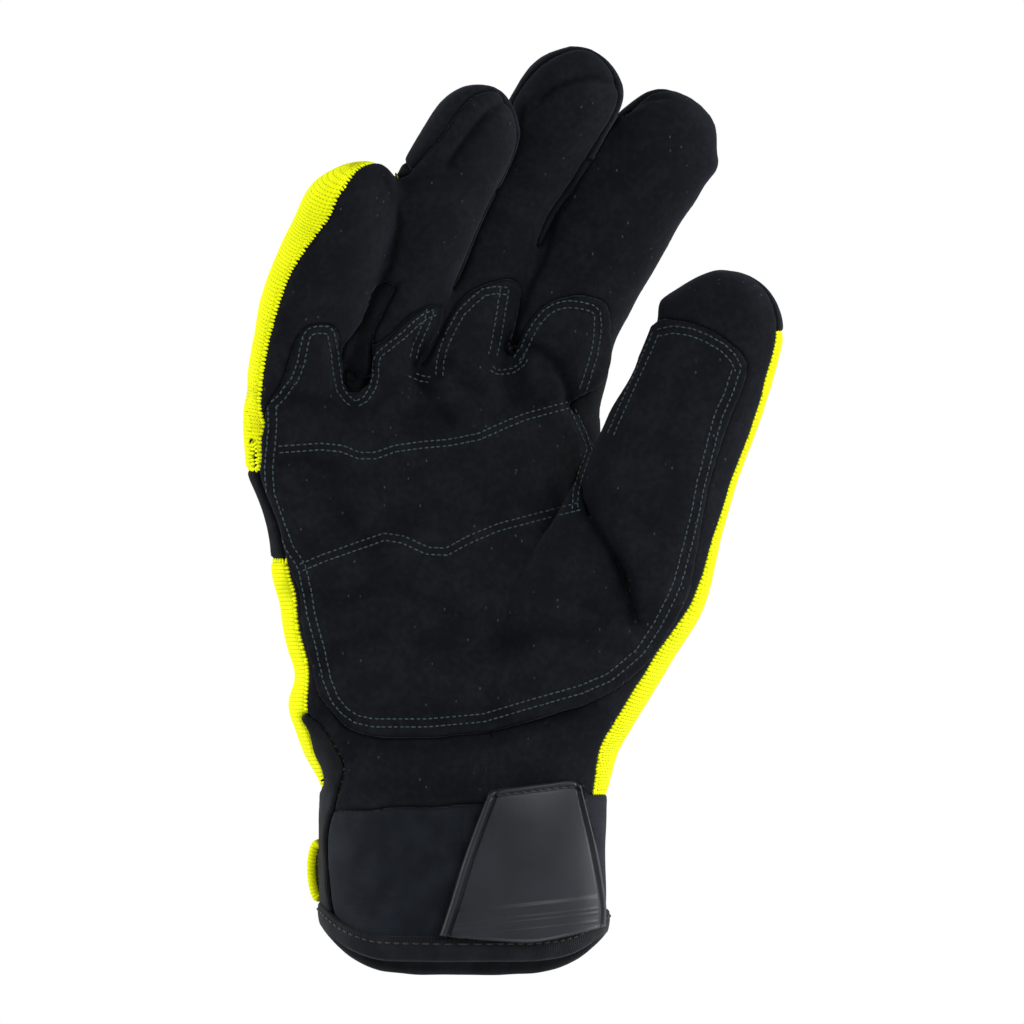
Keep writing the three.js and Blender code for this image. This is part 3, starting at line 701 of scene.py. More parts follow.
def doubled(
    points: Sequence[tuple[float, float]], gap: float = 2.1, sink: float = 0.28
) -> tuple[SewnRow, SewnRow]:
    """Two rows of stitches side by side.

    Args:
        points: Points of the first row, measured on the front view.
        gap: Distance of the second row to the right of the first, in millimetres.
        sink: How far the cloth dips under each row.

    Returns:
        Both rows.
    """
    first = from_pixels(points)
    return SewnRow(first, sink), SewnRow(beside(first, gap), sink)


SEWN_ROWS = (
    *doubled(((271, 406), (271, 430), (267, 469), (269, 496), (279, 525), (288, 549), (300, 568), (304, 585),
              (309, 614), (317, 644), (325, 680), (333, 700), (344, 713)), -2.1),
    *doubled(((344, 713), (356, 721), (374, 725), (428, 725), (485, 720), (530, 706), (554, 699), (582, 691),
              (598, 684), (610, 679), (626, 666), (642, 652), (659, 626), (670, 604), (679, 584), (686, 557),
              (694, 526), (702, 485), (710, 454), (719, 419), (729, 397), (737, 372)), -2.1),
    *doubled(((280, 447), (322, 444), (344, 446), (361, 453), (376, 453), (395, 446), (424, 442), (448, 440),
              (478, 434), (502, 423), (524, 414), (545, 408), (567, 402)), 1.7),
    *doubled(((301, 564), (325, 554), (356, 543), (385, 533), (405, 536), (429, 547), (446, 548), (468, 536),
              (497, 524), (531, 515), (578, 503)), 1.9),
    *doubled(((273, 404), (282, 396), (288, 387), (295, 378), (300, 364), (303, 350), (306, 338), (310, 332),
              (318, 329), (331, 329), (336, 334), (338, 345), (340, 360), (342, 376), (344, 389), (350, 397),
              (357, 402)), 1.8),
    *doubled(((357, 402), (365, 398), (371, 388), (374, 376), (374, 364), (377, 355), (384, 349), (393, 342),
              (404, 333), (414, 323), (425, 315), (434, 311)), 1.5),
    *doubled(((434, 311), (431, 323), (425, 336), (419, 349), (416, 363)), 1.7),
    *doubled(((410, 371), (421, 376), (433, 378)), 1.5),
    *doubled(((436, 377), (437, 360), (441, 345), (448, 330), (458, 312), (471, 299), (482, 290), (495, 287),
              (509, 288)), 1.9),
    *doubled(((509, 289), (507, 300), (505, 312), (503, 326), (500, 343), (497, 356)), 2.2),
    *doubled(((489, 370), (497, 375), (513, 373), (524, 366), (529, 357)), -1.2),
    *doubled(((513, 358), (521, 347), (526, 336), (533, 323), (543, 311), (554, 304), (567, 301), (580, 302),
              (593, 305), (600, 311), (601, 323), (600, 340), (597, 356), (593, 369), (589, 382),
              (585, 394)), 1.8),
    *doubled(((655, 331), (672, 328), (690, 331), (707, 338), (722, 347), (733, 358), (739, 370)), 1.9),
    *doubled(((652, 333), (643, 354), (631, 380), (620, 404), (607, 434)), -1.6),
    *doubled(((575, 408), (584, 428), (592, 449), (583, 474), (578, 491), (577, 510)), 1.3),
)
# Each crease presses the cloth in and paints shade along it; the lines between the fingers are mostly
# painted shade, with little depth.
CREASES = (
    Crease(from_pixels(((541, 103), (554, 92), (575, 83), (596, 80), (614, 84),
                        (623, 90))), 1.1, 1.3, 0.55),
    Crease(from_pixels(((506, 107), (490, 119), (476, 136), (463, 154), (452, 170))), 1.5, 1.6, 0.6),
    Crease(from_pixels(((386, 178), (398, 207), (401, 230), (393, 268), (375, 302), (363, 328), (353, 348),
                        (351, 372))), 1.3, 0.3, 0.8),
    Crease(from_pixels(((400, 286), (388, 310), (375, 334), (371, 352), (370, 372),
                        (361, 388))), 0.8, 0.4, 0.55),
    Crease(from_pixels(((524, 111), (516, 157), (497, 195), (481, 230), (468, 264), (456, 286), (445, 303),
                        (438, 316), (428, 347), (420, 366))), 1.2, 0.4, 0.75),
    Crease(from_pixels(((624, 110), (610, 128), (581, 168), (558, 215), (545, 260), (530, 288), (524, 308),
                        (517, 325), (509, 350))), 1.2, 0.1, 0.7),
    Crease(from_pixels(((628, 110), (646, 99), (667, 95))), 1.0, 0.9, 0.4),
    Crease(from_pixels(((580, 510), (592, 527), (608, 551), (621, 574), (629, 598),
                        (635, 621))), 2.2, 1.7, 0.5),
    Crease(from_pixels(((616, 560), (620, 578), (618, 592))), 3.0, 0.6, 0.3),
    Crease(from_pixels(((590, 604), (606, 612), (626, 616))), 3.0, 0.7, 0.3),
    Crease(from_pixels(((530, 347), (545, 352), (556, 362), (565, 378), (571, 395),
                        (574, 404))), 1.9, 1.7, 0.6),
    Crease(from_pixels(((424, 376), (432, 390), (443, 408), (452, 421))), 2.0, 1.1, 0.35),
    Crease(from_pixels(((447, 362), (463, 382), (478, 390))), 2.4, 1.0, 0.35),
    Crease(from_pixels(((293, 398), (315, 404), (333, 404))), 3.2, 1.1, 0.4),
    Crease(from_pixels(((283, 463), (305, 460), (330, 466))), 2.8, 1.0, 0.35),
    Crease(from_pixels(((374, 412), (385, 402), (394, 388))), 2.6, 0.8, 0.3),
    Crease(from_pixels(((366, 740), (420, 744), (484, 738), (548, 722), (590, 704))), 2.4, 0.8, 0.3),
    Crease(from_pixels(((300, 480), (330, 492), (352, 520))), 3.4, 0.9, 0.2),
    Crease(from_pixels(((420, 640), (470, 650), (520, 640))), 4.5, 0.7, 0.2),
    Crease(from_pixels(((352, 520), (400, 580), (455, 620))), 5.5, 0.8, 0.25),
    Crease(from_pixels(((290, 590), (330, 600), (372, 590))), 4.0, 0.8, 0.3),
    Crease(from_pixels(((326, 660), (352, 640), (380, 634))), 4.0, 0.7, 0.25),
    Crease(from_pixels(((500, 640), (556, 628), (600, 634))), 5.0, 0.8, 0.25),
    Crease(from_pixels(((340, 480), (400, 476), (452, 462))), 4.5, 0.7, 0.2),
    Crease(from_pixels(((348, 790), (400, 784), (460, 790))), 4.0, 0.8, 0.25),
    Crease(from_pixels(((620, 500), (640, 520), (666, 528))), 4.0, 0.6, 0.2),
    Crease(from_pixels(((346, 724), (350, 740), (352, 756))), 3.0, 0.6, 0.3),
    Crease(from_pixels(((312, 722), (322, 733), (332, 748), (340, 764), (333, 786),
                        (329, 806), (325, 822))), 0.7, 0.45, 0.5),
    Crease(from_pixels(((312, 820), (326, 828))), 0.6, 0.45, 0.6),
    Crease(from_pixels(((323, 832), (322, 850), (323, 880), (326, 905), (333, 922))), 0.6, 0.4, 0.6),
)
BADGE_ROW = from_pixels(((495, 792), (520, 789), (548, 786), (574, 784)))


def merged_limbs() -> bpy.types.Object:
    """All limbs as closed shells in one object, ready to be fused.

    Returns:
        The object, in millimetres.
    """
    bm = bmesh.new()
    for limb in LIMBS:
        rows, columns = (110, 96) if limb is BODY else (96, 56)
        made = bmesh.ops.create_uvsphere(bm, u_segments=columns, v_segments=rows, radius=1)["verts"]
        unit_points = np.array([vert.co[:] for vert in made])
        level = np.rint(np.arccos(np.clip(-unit_points[:, 2], -1, 1)) / math.pi * rows)
        dome_rows = 22
        shoulder = rows - dome_rows
        straight = np.clip((level - 1) / (shoulder - 1), 0, 1) * (1 - limb.dome)
        turn = np.clip((level - shoulder) / dome_rows, 0, 1) * math.pi / 2
        share = straight + limb.dome * np.sin(turn)
        size = np.where(level == 0, 0, np.cos(turn))
        angle = np.arctan2(unit_points[:, 1], unit_points[:, 0])
        for vert, place in zip(made, limb.surface(share, angle, size)):
            vert.co = place
    bmesh.ops.recalc_face_normals(bm, faces=bm.faces)
    mesh = bpy.data.meshes.new("limbs")
    bm.to_mesh(mesh)
    bm.free()
    thing = bpy.data.objects.new("limbs", mesh)
    bpy.context.scene.collection.objects.link(thing)
    return thing


@dataclass
class Skin:
    """The outer face of the whole hand as one mesh, cut into named panels.

    Args:
        voxel: Length of a mesh edge before refining, in millimetres.
        groove: How far the cloth dips at a seam.
        groove_width: Width of that dip on each side of the seam.
        refine_width: Width beside a seam that gets a finer mesh.
    """

    voxel: float = VOXEL
    groove: float = 0.85
    groove_width: float = 1.7
    refine_width: float = 1.9
    bm: bmesh.types.BMesh = field(init=False)
    region: bmesh.types.BMLayerItem = field(init=False)

    def build(self) -> None:
        """Makes the skin, its panels, its folds and its seams."""
        self.fuse()
        self.cut()
        self.relax(14)
        self.refine()
        self.relax(4)
        self.shape()

    def fuse(self) -> None:
        """Fuses the limbs into one smooth skin."""
        limbs = merged_limbs()
        remesh = limbs.modifiers.new("fuse", "REMESH")
        remesh.mode = "VOXEL"
        remesh.voxel_size = self.voxel
        graph = bpy.context.evaluated_depsgraph_get()
        fused = bpy.data.meshes.new_from_object(limbs.evaluated_get(graph))
        self.bm = bmesh.new()
        self.bm.from_mesh(fused)
        bpy.data.objects.remove(limbs)
        bpy.data.meshes.remove(fused)
        for _ in range(10):
            bmesh.ops.smooth_vert(
                self.bm, verts=self.bm.verts, factor=0.5, use_axis_x=True, use_axis_y=True, use_axis_z=True
            )
        self.bm.verts.ensure_lookup_table()
        LOG.info("skin: %d faces", len(self.bm.faces))

    def points(self) -> np.ndarray:
        """Places of all vertices, one a row, in millimetres."""
        return np.array([vert.co[:] for vert in self.bm.verts])

    def cut(self) -> None:
        """Gives each face its region, without lone faces of another region."""
        self.region = self.bm.faces.layers.int.new("region")
        faces = list(self.bm.faces)
        names = regions_of(np.array([face.calc_center_median()[:] for face in faces]))
        self.bm.faces.index_update()
        beside = np.full((len(faces), 8), -1)
        for face in faces:
            near = {other.index for edge in face.edges for other in edge.link_faces} - {face.index}
            for slot, other in enumerate(list(near)[:8]):
                beside[face.index, slot] = other
        for _ in range(6):
            votes = np.stack(
                [((names[beside] == region.value) & (beside >= 0)).sum(axis=1) for region in Region]
            )
            best = votes.argmax(axis=0)
            names = np.where(votes.max(axis=0) >= 3, best, names)
        for face in faces:
            face[self.region] = int(names[face.index])

    def seams(self) -> list[bmesh.types.BMEdge]:
        """Edges between two regions."""
        found = []
        for edge in self.bm.edges:
            faces = edge.link_faces
            if len(faces) == 2 and faces[0][self.region] != faces[1][self.region]:
                found.append(edge)
        return found

    def relax(self, rounds: int) -> None:
        """Straightens the stepped seams and evens out the faces beside them.

        Args:
            rounds: How many times each point moves to the middle of its neighbours.
        """
        self.bm.verts.ensure_lookup_table()
        self.bm.verts.index_update()
        self.bm.normal_update()
        places = self.points()
        normals = np.array([vert.normal[:] for vert in self.bm.verts])
        pairs = np.array([[vert.index for vert in edge.verts] for edge in self.seams()])
        count = np.bincount(pairs.ravel(), minlength=len(places))
        on_seam = count > 0
        free = count == 2
        every = np.array([[vert.index for vert in edge.verts] for edge in self.bm.edges])
        near = on_seam.copy()
        for _ in range(4):
            near[every[near[every].any(axis=1)].ravel()] = True
        local = every[near[every].any(axis=1)]
        degree = np.maximum(np.bincount(local.ravel(), minlength=len(places)), 1)[:, None]
        inner = near & ~on_seam

        def average(links: np.ndarray, total: np.ndarray) -> np.ndarray:
            """Mean place of the linked neighbours of every vertex."""
            summed = np.zeros_like(places)
            for axis in range(3):
                summed[:, axis] = np.bincount(links[:, 0], places[links[:, 1], axis], len(places))
                summed[:, axis] += np.bincount(links[:, 1], places[links[:, 0], axis], len(places))
            return summed / total

        for _ in range(rounds):
            along = average(pairs, np.maximum(count, 1)[:, None])
            places[free] += 0.5 * (along - places)[free]
            pull = (average(local, degree) - places)[inner]
            pull -= (pull * normals[inner]).sum(1)[:, None] * normals[inner]
            places[inner] += 0.5 * pull
        for vert, place in zip(self.bm.verts, places):
            vert.co = place

    def away_from(self, edges: Iterable[bmesh.types.BMEdge], limit: float) -> np.ndarray:
        """Distance of every vertex from the nearest of some edges.

        Args:
            edges: The edges to measure from.
            limit: Distances stop at this value.

        Returns:
            One distance a vertex, in millimetres.
        """
        spots = []
        for edge in edges:
            start, end = edge.verts
            spots += [start.co.copy(), (start.co + end.co) / 2]
        tree = KDTree(max(len(spots), 1))
        for number, spot in enumerate(spots):
            tree.insert(spot, number)
        tree.balance()
        if not spots:
            return np.full(len(self.bm.verts), limit)
        return np.array([min(tree.find(vert.co)[2], limit) for vert in self.bm.verts])

    def refine(self) -> None:
        """Halves the edges beside the seams, so that their rounding shows."""
        self.bm.verts.index_update()
        away = self.away_from(self.seams(), 9)
        near = [max(away[vert.index] for vert in edge.verts) for edge in self.bm.edges]
        edges = [edge for edge, far in zip(self.bm.edges, near) if far < self.refine_width]
        bmesh.ops.subdivide_edges(self.bm, edges=edges, cuts=1, use_grid_fill=True)
        self.bm.verts.ensure_lookup_table()
        self.bm.verts.index_update()

    def shape(self) -> None:
        """Presses in the folds, the sewn rows and the seams, paints shade into the folds, creases, seams and
        patch edges, and keeps the run of the cloth.
        """
        self.bm.normal_update()
        self.bm.verts.index_update()
        places = self.points()
        normals = np.array([vert.normal[:] for vert in self.bm.verts])
        for swell in SWELLS:
            near = np.exp(-((places[:, 0] - swell.x) ** 2 + (places[:, 2] - swell.z) ** 2) / swell.reach**2)
            places += near[:, None] * np.array((swell.across, 0, swell.up))
        x, y, z = places.T
        facing = np.clip(-normals[:, 1] * 1.3, 0, 1)
        push = np.zeros(len(places))
        painted_shade = np.zeros(len(places))
        for fold in FOLDS:
            away = line_distance(((fold.from_x, fold.from_z), (fold.to_x, fold.to_z)), x, z) / fold.width
            push -= fold.depth * np.exp(-(away**2)) * facing
            # Painted shade along each fold, stronger where the fold is deeper.
            painted_shade += 0.1 * fold.depth * np.exp(-(away**2)) * facing
        for crease in CREASES:
            away = line_distance(crease.line, x, z) / crease.width
            push -= crease.depth * np.exp(-(away**2)) * facing
            # Painted shade along each crease.
            painted_shade += crease.painted_shade * np.exp(-((1.3 * away) ** 2)) * facing
        for row in SEWN_ROWS:
            if row.sink:
                push -= row.sink * np.exp(-((line_distance(row.line, x, z) / 1.3) ** 2)) * facing
        waves = np.array([soft_noise(place) for place in places])
        push += waves
        cloth_seams, patch_edges = [], []
        for edge in self.seams():
            both = {Region(face[self.region]) for face in edge.link_faces}
            if not both <= set(PALM_SIDE):
                cloth_seams.append(edge)
            elif both != {Region.PALM_PATCH, Region.THUMB_PATCH} or edge.verts[0].co.z > WEB_TOP:
                patch_edges.append(edge)
        away = self.away_from(cloth_seams, 9)
        push -= self.groove * np.clip(1 - away / self.groove_width, 0, 1) ** 2
        edge_away = self.away_from(patch_edges, 9)
        # Painted shade along the cloth seams and along the edges of the patches.
        painted_shade += 0.7 * np.exp(-((away / 0.6) ** 2)) + 0.75 * np.exp(-((edge_away / 0.6) ** 2))
        across, along = cloth_run(places)
        run = self.bm.verts.layers.float_vector.new("cloth_run")
        patch = self.bm.verts.layers.float.new("patch_away")
        way = self.bm.verts.layers.float_vector.new("way_out")
        # The painted shade is kept per vertex, and the finishes darken their colour by it.
        painted_shade_layer = self.bm.verts.layers.float.new("painted_shade")
        for number, vert in enumerate(self.bm.verts):
            vert.co = places[number] + normals[number] * push[number]
            vert[painted_shade_layer] = min(painted_shade[number], 0.9)
            vert[run] = (across[number], along[number], away[number])
            vert[patch] = edge_away[number]
            vert[way] = normals[number]

    def panel(self, *names: Region) -> bmesh.types.BMesh:
        """A copy of some regions of the skin.

        Args:
            names: The regions to keep.

        Returns:
            Their faces as a mesh in millimetres.
        """
        kept = {name.value for name in names}
        part = self.bm.copy()
        layer = part.faces.layers.int["region"]
        dropped = [face for face in part.faces if face[layer] not in kept]
        bmesh.ops.delete(part, geom=dropped, context="FACES")
        return part


def soft_noise(place: Sequence[float]) -> float:
    """Small unevenness of stuffed cloth at a point, in millimetres."""
    point = Vector(place)
    return 0.45 * noise.noise(point / 19) + 0.22 * noise.noise(point / 8 + Vector((7, 3, 1)))


class Shader:
    """A short way to write a node tree: a material's or a group's.

    Args:
        tree: The tree to fill.
    """

    def __init__(self, tree: bpy.types.NodeTree) -> None:
        """Clears the tree."""
        self.tree = tree
        tree.nodes.clear()

    def add(
        self, kind: str, inputs: dict[str | int, object] | None = None, **settings: object
    ) -> bpy.types.Node:
        """Adds a node.

        Args:
            kind: The node's type, without its prefix.
            inputs: Values or outputs for its inputs.
            settings: Its own settings.

        Returns:
            The node.
        """
        node = self.tree.nodes.new("ShaderNode" + kind)
        for key, value in settings.items():
            setattr(node, key, value)
        for key, value in (inputs or {}).items():
            if isinstance(value, bpy.types.NodeSocket):
                self.tree.links.new(value, node.inputs[key])
            else:
                node.inputs[key].default_value = value
        return node

    def maths(self, operation: str, *values: object) -> bpy.types.NodeSocket:
        """The result of a sum on numbers or outputs."""
        return self.add("Math", dict(enumerate(values)), operation=operation).outputs[0]

    def ramp(self, value: bpy.types.NodeSocket, low: float, high: float) -> bpy.types.NodeSocket:
        """A value stretched from a low and a high level to 0 and 1, softly at both ends."""
        levels = {"Value": value, "From Min": low, "From Max": high}
        node = self.add("MapRange", levels, interpolation_type="SMOOTHSTEP")
        return node.outputs[0]

    def noise(self, vector: bpy.types.NodeSocket, scale: float, detail: float = 2.0) -> bpy.types.NodeSocket:
        """Noise at a scale."""
        return self.add("TexNoise", {"Vector": vector, "Scale": scale, "Detail": detail}).outputs["Fac"]

    def blend(self, factor: bpy.types.NodeSocket, first: object, second: object) -> bpy.types.NodeSocket:
        """One colour turning into another."""
        node = self.add("Mix", {"Factor": factor}, data_type="RGBA")
        for socket, value in ((node.inputs[6], first), (node.inputs[7], second)):
            if isinstance(value, bpy.types.NodeSocket):
                self.tree.links.new(value, socket)
            else:
                socket.default_value = (*value, 1)
        return node.outputs[2]


def group(
    name: str, outputs: Iterable[str], numbers: Iterable[str] = ()
) -> tuple[Shader, bpy.types.Node, bpy.types.Node]:
    """Starts a node group that takes a place and gives values.

    Args:
        name: Name of the group.
        outputs: Names of the values that it gives.
        numbers: Names of the numbers that it takes beside the place.

    Returns:
        The group's shader, its input node and its output node.
    """
    tree = bpy.data.node_groups.new(name, "ShaderNodeTree")
    tree.interface.new_socket("Place", in_out="INPUT", socket_type="NodeSocketVector")
    for number in numbers:
        tree.interface.new_socket(number, in_out="INPUT", socket_type="NodeSocketFloat")
    for output in outputs:
        tree.interface.new_socket(output, in_out="OUTPUT", socket_type="NodeSocketFloat")
    shader = Shader(tree)
    return shader, tree.nodes.new("NodeGroupInput"), tree.nodes.new("NodeGroupOutput")


def nap_group() -> bpy.types.NodeTree:
    """Short brushed fibres: their height, the tone of the nap and pale specks of lint."""
    shader, given, result = group("nap", ("Height", "Tone", "Lint"))
    place = given.outputs["Place"]
    fine = shader.noise(place, 2100, 3)
    tufts = shader.noise(place, 620, 3)
    height = shader.maths("ADD", shader.maths("MULTIPLY", fine, 0.6), shader.maths("MULTIPLY", tufts, 0.55))
    brushed = shader.noise(place, 120, 4)
    tone = shader.maths("ADD", shader.maths("MULTIPLY", brushed, 0.5), shader.maths("MULTIPLY", tufts, 0.5))
    bent = shader.add("VectorMath", {0: place, 1: (1.0, 1.0, 0.6)}, operation="MULTIPLY").outputs[0]
    cells = shader.add("TexVoronoi", {"Vector": bent, "Scale": 640})
    rare = shader.add("SeparateColor", {0: cells.outputs["Color"]}).outputs[0]
    dot = shader.ramp(cells.outputs["Distance"], 0.2, 0.06)
    lint = shader.maths("MULTIPLY", dot, shader.maths("GREATER_THAN", rare, 0.88))
    for name, value in (("Height", height), ("Tone", tone), ("Lint", lint)):
        shader.tree.links.new(value, result.inputs[name])
    return shader.tree


def knit_group() -> bpy.types.NodeTree:
    """Rows of knitted loops: their height and the shade painted into the hollows between them."""
    shader, given, result = group("knit", ("Height", "Hollow"), ("Row", "Loop"))
    parts = shader.add("SeparateXYZ", {0: given.outputs["Place"]})
    across, along = parts.outputs[0], parts.outputs[1]
    row = shader.maths("MULTIPLY", shader.maths("DIVIDE", along, given.outputs["Row"]), math.tau)
    loop = shader.maths("MULTIPLY", shader.maths("DIVIDE", across, given.outputs["Loop"]), math.tau)
    rib = shader.maths("ABSOLUTE", shader.maths("SINE", shader.maths("MULTIPLY", row, 0.5)))
    shifted = shader.maths("ADD", loop, shader.maths("MULTIPLY", rib, 1.4))
    bead = shader.maths("MULTIPLY_ADD", shader.maths("SINE", shifted), 0.5, 0.5)
    height = shader.maths("ADD", shader.maths("MULTIPLY", rib, 0.75), shader.maths("MULTIPLY", bead, 0.35))
    # Painted shade in the hollows between the rows and the loops.
    low = shader.ramp(rib, 0.42, 0.1)
    hollow = shader.maths("MULTIPLY", low, shader.ramp(bead, 0.55, 0.1))
    for name, value in (("Height", height), ("Hollow", hollow)):
        shader.tree.links.new(value, result.inputs[name])
    return shader.tree


@dataclass(frozen=True)
class Finish:
    """A finish of the glove.

    Args:
        name: Plain name of the finish.
        colour: Its main colour, linear.
        light: The lighter tone in it.
        roughness: Roughness of its face.
        specular: Strength of its reflection.
        sheen: Strength of the soft light along its edges.
        sheen_tint: Colour of that light.
        bump: Height of its texture, in millimetres.
        deep: The painted shade colour that it darkens to in folds, creases and seams.
    """

    name: str
    colour: tuple[float, float, float]
    light: tuple[float, float, float]
    roughness: float
    specular: float
    sheen: float
    sheen_tint: tuple[float, float, float]
    bump: float
    # Painted shade colour in folds and seams, near black.
    deep: tuple[float, float, float] = (0.0006, 0.0007, 0.0009)

    def surface(self, shader: Shader, colour: bpy.types.NodeSocket, height: bpy.types.NodeSocket) -> None:
        """Ends the material in its surface, darkened towards the painted shade colour where the skin carries
        painted shade.

        Args:
            shader: The material's shader.
            colour: Its colour all over.
            height: Its texture from 0 to 1.
        """
        bump = shader.add("Bump", {"Strength": 1.0, "Distance": self.bump * MM, "Height": height})
        # Painted shade: the colour blends towards deep by the skin's painted shade attribute.
        painted_shade = shader.add("Attribute", attribute_name="painted_shade").outputs["Fac"]
        colour = shader.blend(painted_shade, colour, self.deep)
        face = shader.add(
            "BsdfPrincipled",
            {
                "Base Color": colour,
                "Roughness": self.roughness,
                "Specular IOR Level": self.specular,
                "Sheen Weight": self.sheen,
                "Sheen Roughness": 0.45,
                "Sheen Tint": (*self.sheen_tint, 1),
                "Normal": bump.outputs[0],
            },
        )
        out = shader.add("OutputMaterial", {"Surface": face.outputs[0]})
        out.is_active_output = True

    def material(self) -> tuple[bpy.types.Material, Shader]:
        """Starts the material."""
        made = bpy.data.materials.new(self.name)
        made.use_nodes = True
        made.diffuse_color = (*self.colour, 1)
        return made, Shader(made.node_tree)


BLACK_SUEDE = Finish(
    name="black_suede",
    colour=(0.0052, 0.0062, 0.0082),
    light=(0.0096, 0.0112, 0.0140),
    roughness=0.95,
    specular=0.05,
    sheen=0.05,
    sheen_tint=(0.70, 0.76, 1.0),
    bump=0.14,
)
PATCH_SUEDE = Finish(
    name="patch_suede",
    colour=(0.0056, 0.0066, 0.0086),
    light=(0.0104, 0.0120, 0.0148),
    roughness=0.95,
    specular=0.05,
    sheen=0.05,
    sheen_tint=(0.70, 0.78, 1.0),
    bump=0.15,
)
YELLOW_KNIT = Finish(
    name="yellow_knit",
    colour=(0.86, 0.95, 0.0),
    light=(0.95, 1.0, 0.002),
    roughness=0.85,
    specular=0.15,
    sheen=0.0,
    sheen_tint=(1, 1, 1),
    bump=0.30,
    # Painted shade colour for the yellow knit's folds and seams.
    deep=(0.35, 0.40, 0.0),
)
BLACK_FLEX = Finish(
    name="black_flex",
    colour=(0.0038, 0.0047, 0.0064),
    light=(0.0072, 0.0085, 0.0110),
    roughness=0.85,
    specular=0.06,
    sheen=0.03,
    sheen_tint=(0.75, 0.80, 1.0),
    bump=0.10,
)
NEOPRENE = Finish(
    name="neoprene",
    colour=(0.0044, 0.0060, 0.0095),
    light=(0.0085, 0.0108, 0.0155),
    roughness=0.80,
    specular=0.10,
    sheen=0.05,
    sheen_tint=(0.7, 0.8, 1.0),
    bump=0.07,
)
BINDING = Finish(
    name="binding",
    colour=(0.0034, 0.0040, 0.0056),
    light=(0.0078, 0.0088, 0.0118),
    roughness=0.70,
    specular=0.12,
    sheen=0.04,
    sheen_tint=(0.75, 0.82, 1.0),
    bump=0.16,
)
BADGE_RUBBER = Finish(
    name="badge_rubber",
    colour=(0.0100, 0.0124, 0.0165),
    light=(0.0150, 0.0180, 0.0230),
    roughness=0.44,
    specular=0.24,
    sheen=0.0,
    sheen_tint=(1, 1, 1),
    bump=0.02,
)
SEWING_THREAD = Finish(
    name="sewing_thread",
    colour=(0.028, 0.045, 0.054),
    light=(0.052, 0.080, 0.092),
    roughness=0.8,
    specular=0.12,
    sheen=0.05,
    sheen_tint=(0.8, 1.0, 1.0),
    bump=0.05,
)
DARK_THREAD = Finish(
    name="dark_thread",
    colour=(0.004, 0.004, 0.005),
    light=(0.012, 0.012, 0.015),
    roughness=0.6,
    specular=0.4,
    sheen=0.1,
    sheen_tint=(1, 1, 1),
    bump=0.05,
)


class Finishes:
    """All finishes of the glove, each made once."""

    def __init__(self) -> None:
        """Makes the groups that the finishes share."""
        self.nap = nap_group()
        self.knit = knit_group()
        self.suede = self.brushed(BLACK_SUEDE)
        self.patch = self.brushed(PATCH_SUEDE)
        # The hollow colours are painted shade between the knit loops.
        self.yellow = self.knitted(YELLOW_KNIT, hollow=(0.30, 0.36, 0.0), row=1.05, loop=1.3)
        self.flex = self.knitted(BLACK_FLEX, hollow=(0.003, 0.003, 0.004), row=0.55, loop=0.6)
        self.neoprene = self.knitted(NEOPRENE, hollow=(0.003, 0.0035, 0.005), row=0.5, loop=0.5)
        self.binding = self.knitted(BINDING, hollow=(0.0015, 0.0015, 0.002), row=30.0, loop=0.75)
        self.rubber = self.moulded(BADGE_RUBBER)
        self.thread = self.twisted(SEWING_THREAD)
        self.dark_thread = self.twisted(DARK_THREAD)

    def brushed(self, finish: Finish) -> bpy.types.Material:
        """Suede with a short nap and a little lint."""
        made, shader = finish.material()
        place = shader.add("TexCoord").outputs["Object"]
        nap = shader.add("Group", node_tree=self.nap)
        shader.tree.links.new(place, nap.inputs["Place"])
        tone = shader.ramp(nap.outputs["Tone"], 0.38, 0.72)
        colour = shader.blend(tone, finish.colour, finish.light)
        lint = shader.maths("MULTIPLY", nap.outputs["Lint"], 0.55)
        colour = shader.blend(lint, colour, (0.075, 0.09, 0.105))
        finish.surface(shader, colour, nap.outputs["Height"])
        return made

    def knitted(
        self, finish: Finish, hollow: tuple[float, float, float], row: float, loop: float
    ) -> bpy.types.Material:
        """Knitted cloth.

        Args:
            finish: Its colours and gloss.
            hollow: Painted shade colour between the loops.
            row: Height of a row of loops, in millimetres.
            loop: Width of a loop, in millimetres.

        Returns:
            The material.
        """
        made, shader = finish.material()
        run = shader.add("Attribute", attribute_name="cloth_run").outputs["Vector"]
        knit = shader.add("Group", node_tree=self.knit)
        shader.tree.links.new(run, knit.inputs["Place"])
        knit.inputs["Row"].default_value = row
        knit.inputs["Loop"].default_value = loop
        place = shader.add("TexCoord").outputs["Object"]
        tone = shader.ramp(shader.noise(place, 160, 3), 0.35, 0.7)
        colour = shader.blend(tone, finish.colour, finish.light)
        # Painted shade darkens the hollows between the loops.
        colour = shader.blend(knit.outputs["Hollow"], colour, hollow)
        fibres = shader.maths("MULTIPLY", shader.noise(place, 2600, 2), 0.25)
        finish.surface(shader, colour, shader.maths("ADD", knit.outputs["Height"], fibres))
        return made

    def moulded(self, finish: Finish) -> bpy.types.Material:
        """Soft moulded rubber with a fine grain."""
        made, shader = finish.material()
        place = shader.add("TexCoord").outputs["Object"]
        grain = shader.noise(place, 3200, 2)
        cloudy = shader.ramp(shader.noise(place, 60, 3), 0.35, 0.7)
        finish.surface(shader, shader.blend(cloudy, finish.colour, finish.light), grain)
        return made

    def twisted(self, finish: Finish) -> bpy.types.Material:
        """Twisted sewing thread."""
        made, shader = finish.material()
        place = shader.add("TexCoord").outputs["Object"]
        strands = shader.noise(place, 1700, 2)
        tone = shader.ramp(strands, 0.35, 0.65)
        finish.surface(shader, shader.blend(tone, finish.colour, finish.light), strands)
        return made


